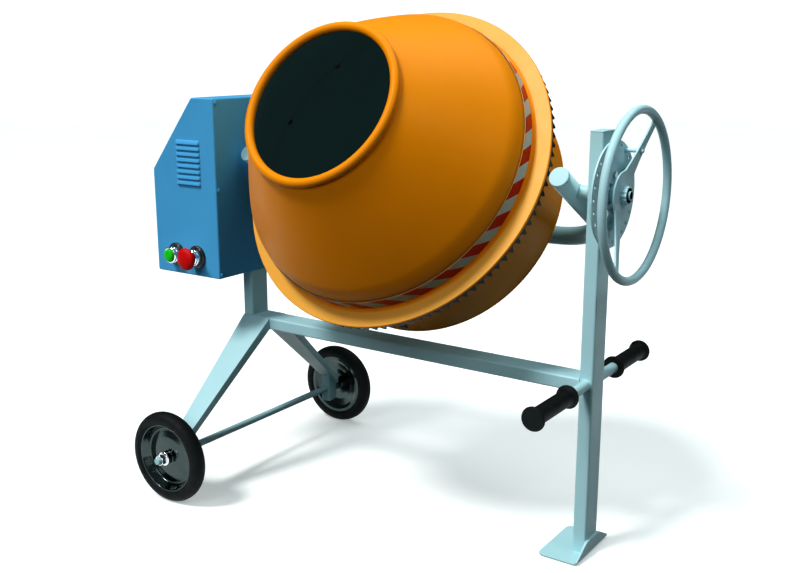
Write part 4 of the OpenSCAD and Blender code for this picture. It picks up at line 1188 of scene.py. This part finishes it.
def build_wheels():
    """Solid tyres with mould lines on pressed, dark chrome wheels."""
    for end, side in (("near", -1), ("far", 1)):
        place = axes(JOINTS[f"wheel_{end}_spin"]["pos_m"], (0, side, 0))
        tyre = Span(f"tyre_{end}", place)
        half = (tyre.s1 - tyre.s0) / 2
        outer = 110 * MM
        seat = 82 * MM
        outline = []
        for i in range(49):
            a = math.pi * (i / 48) - math.pi / 2
            flat = abs(math.sin(a))
            r = outer - half + half * math.cos(a) ** 0.86 if math.cos(a) > 1e-9 else outer - half
            s = half * math.copysign(flat, a)
            outline.append(Vector((r, s)))
        side_line = rounded(
            [
                (outer - half, half, 0), (outer - half - 2 * MM, half, 0.8 * MM),
                (outer - half - 2.6 * MM, half - 1 * MM, 0.5 * MM),
                (seat + 3 * MM, half - 1.8 * MM, 1.5 * MM), (seat + 1.2 * MM, half - 4 * MM, 1 * MM),
                (seat, half - 4.4 * MM, 0),
            ],
            closed=False,
        )
        mirrored = [Vector((p.x, -p.y)) for p in side_line[::-1]]
        outline = mirrored[:-1] + outline + side_line[1:]
        turned(f"solid_tyre_{end}", outline, place, f"tyre_{end}", 224)
        disc = rounded_mm(
            [
                (8.6, -23.5, 0.4), (15, -23.5, 1), (15, -3, 2), (24, -3, 6), (44, -5, 40), (66, -11, 8),
                (74, -15, 3), (82, -15, 0.5), (82, 15, 0.5), (79.5, 15, 1.2), (76, 8, 6), (69, -5, 4.5),
                (63, -3.5, 3), (44, 2, 60), (24, 3.5, 12), (15, 3.5, 2), (15, 16, 1), (8.6, 16, 0.4),
            ],
            steps=8,
        )
        turned(f"pressed_wheel_{end}", disc, place, f"wheel_{end}", 224)


# ---- Floor, light and camera ----


def put(name, data, spot, turn):
    """New object for a light or camera."""
    thing = bpy.data.objects.new(name, data)
    thing.location, thing.rotation_euler = spot, turn
    bpy.context.scene.collection.objects.link(thing)
    return thing


def aimed(direction):
    """The turn that points a light along a direction."""
    return Vector(direction).to_track_quat("-Z", "Y").to_euler()


def build_stage():
    """Pale floor, one soft sun from the front left, three softboxes and a dim surround."""
    floor_r = 14
    outline = [Vector((floor_r * math.cos(a), floor_r * math.sin(a))) for a in turns(96)]
    floor = bpy.data.objects.new("floor", slab(outline, Matrix.Identity(4), -0.02, 0, 0))
    bpy.context.scene.collection.objects.link(floor)
    n = Nodes("pale_floor")
    colour = n.mix(n.spread(n.noise(1.5, 2), 0.3, 0.7), (0.86, 0.90, 0.90), (0.90, 0.93, 0.93))
    rough = n.spread(n.noise(3, 2), 0.3, 0.7, 0.75, 0.85)
    glow = {"Emission_Color": (0.94, 1.0, 0.99, 1), "Emission_Strength": 0.29}
    floor.data.materials.append(n.done(colour, rough, Specular_IOR_Level=0.1, **glow))
    floor.visible_diffuse = False

    sun = bpy.data.lights.new("key", "SUN")
    sun.energy = 2.1
    sun.angle = math.radians(14)
    sun.color = (1.0, 0.985, 0.96)
    put("key", sun, (0, 0, 0), aimed((0.262, 0.511, -0.819)))
    middle = Vector((0, 0, 0.6))
    for name, spot, side, power in (
        ("softbox_front", (-0.1, -3.0, 1.9), 1.2, 21),
        ("softbox_right", (2.6, -0.4, 2.6), 1.2, 11),
        ("softbox_top", (0.5, 0.7, 3.4), 2.4, 34),
    ):
        light = bpy.data.lights.new(name, "AREA")
        light.shape = "RECTANGLE"
        light.size = light.size_y = side
        light.energy = power
        put(name, light, spot, aimed(middle - Vector(spot)))

    # Dim surround for light and reflections, plain white where the camera sees it
    world = bpy.data.worlds.new("studio")
    bpy.context.scene.world = world
    world.use_nodes = True
    tree = world.node_tree
    surround = tree.nodes["Background"]
    height = add_node(tree, "SeparateXYZ", "Z", {"Vector": add_node(tree, "TexCoord", "Generated")})
    values = {"Value": height, "From Min": -0.2, "From Max": 1.0, "To Min": 0.0, "To Max": 0.20}
    strength = add_node(tree, "MapRange", "Result", values)
    fill(tree, surround.inputs, {"Color": (0.72, 0.95, 1.0, 1), "Strength": strength})
    white = add_node(tree, "Background", "Background", {"Color": (1, 1, 1, 1), "Strength": 1.0})
    seen = add_node(tree, "LightPath", "Is Camera Ray")
    values = {"Fac": seen, 1: surround.outputs["Background"], 2: white}
    fill(tree, tree.nodes["World Output"].inputs, {"Surface": add_node(tree, "MixShader", "Shader", values)})
    bpy.context.scene.view_settings.view_transform = "Standard"
    bpy.context.scene.view_settings.look = "Medium High Contrast"


def build_camera():
    """Camera at the front right, a little above the handwheel."""
    azimuth, elevation = 34.335, 13.36
    camera = bpy.data.cameras.new("camera")
    camera.sensor_width = 36
    camera.lens = 45.44
    turn = (math.radians(90 - elevation), 0, math.radians(azimuth))
    bpy.context.scene.camera = put("camera", camera, (1.3175, -1.8561, 1.0582), turn)


build_camera()
dress_cad_nodes()
build_drum()
build_yoke()
build_frame()
build_housing()
build_buttons()
build_handwheel()
build_wheels()
build_stage()
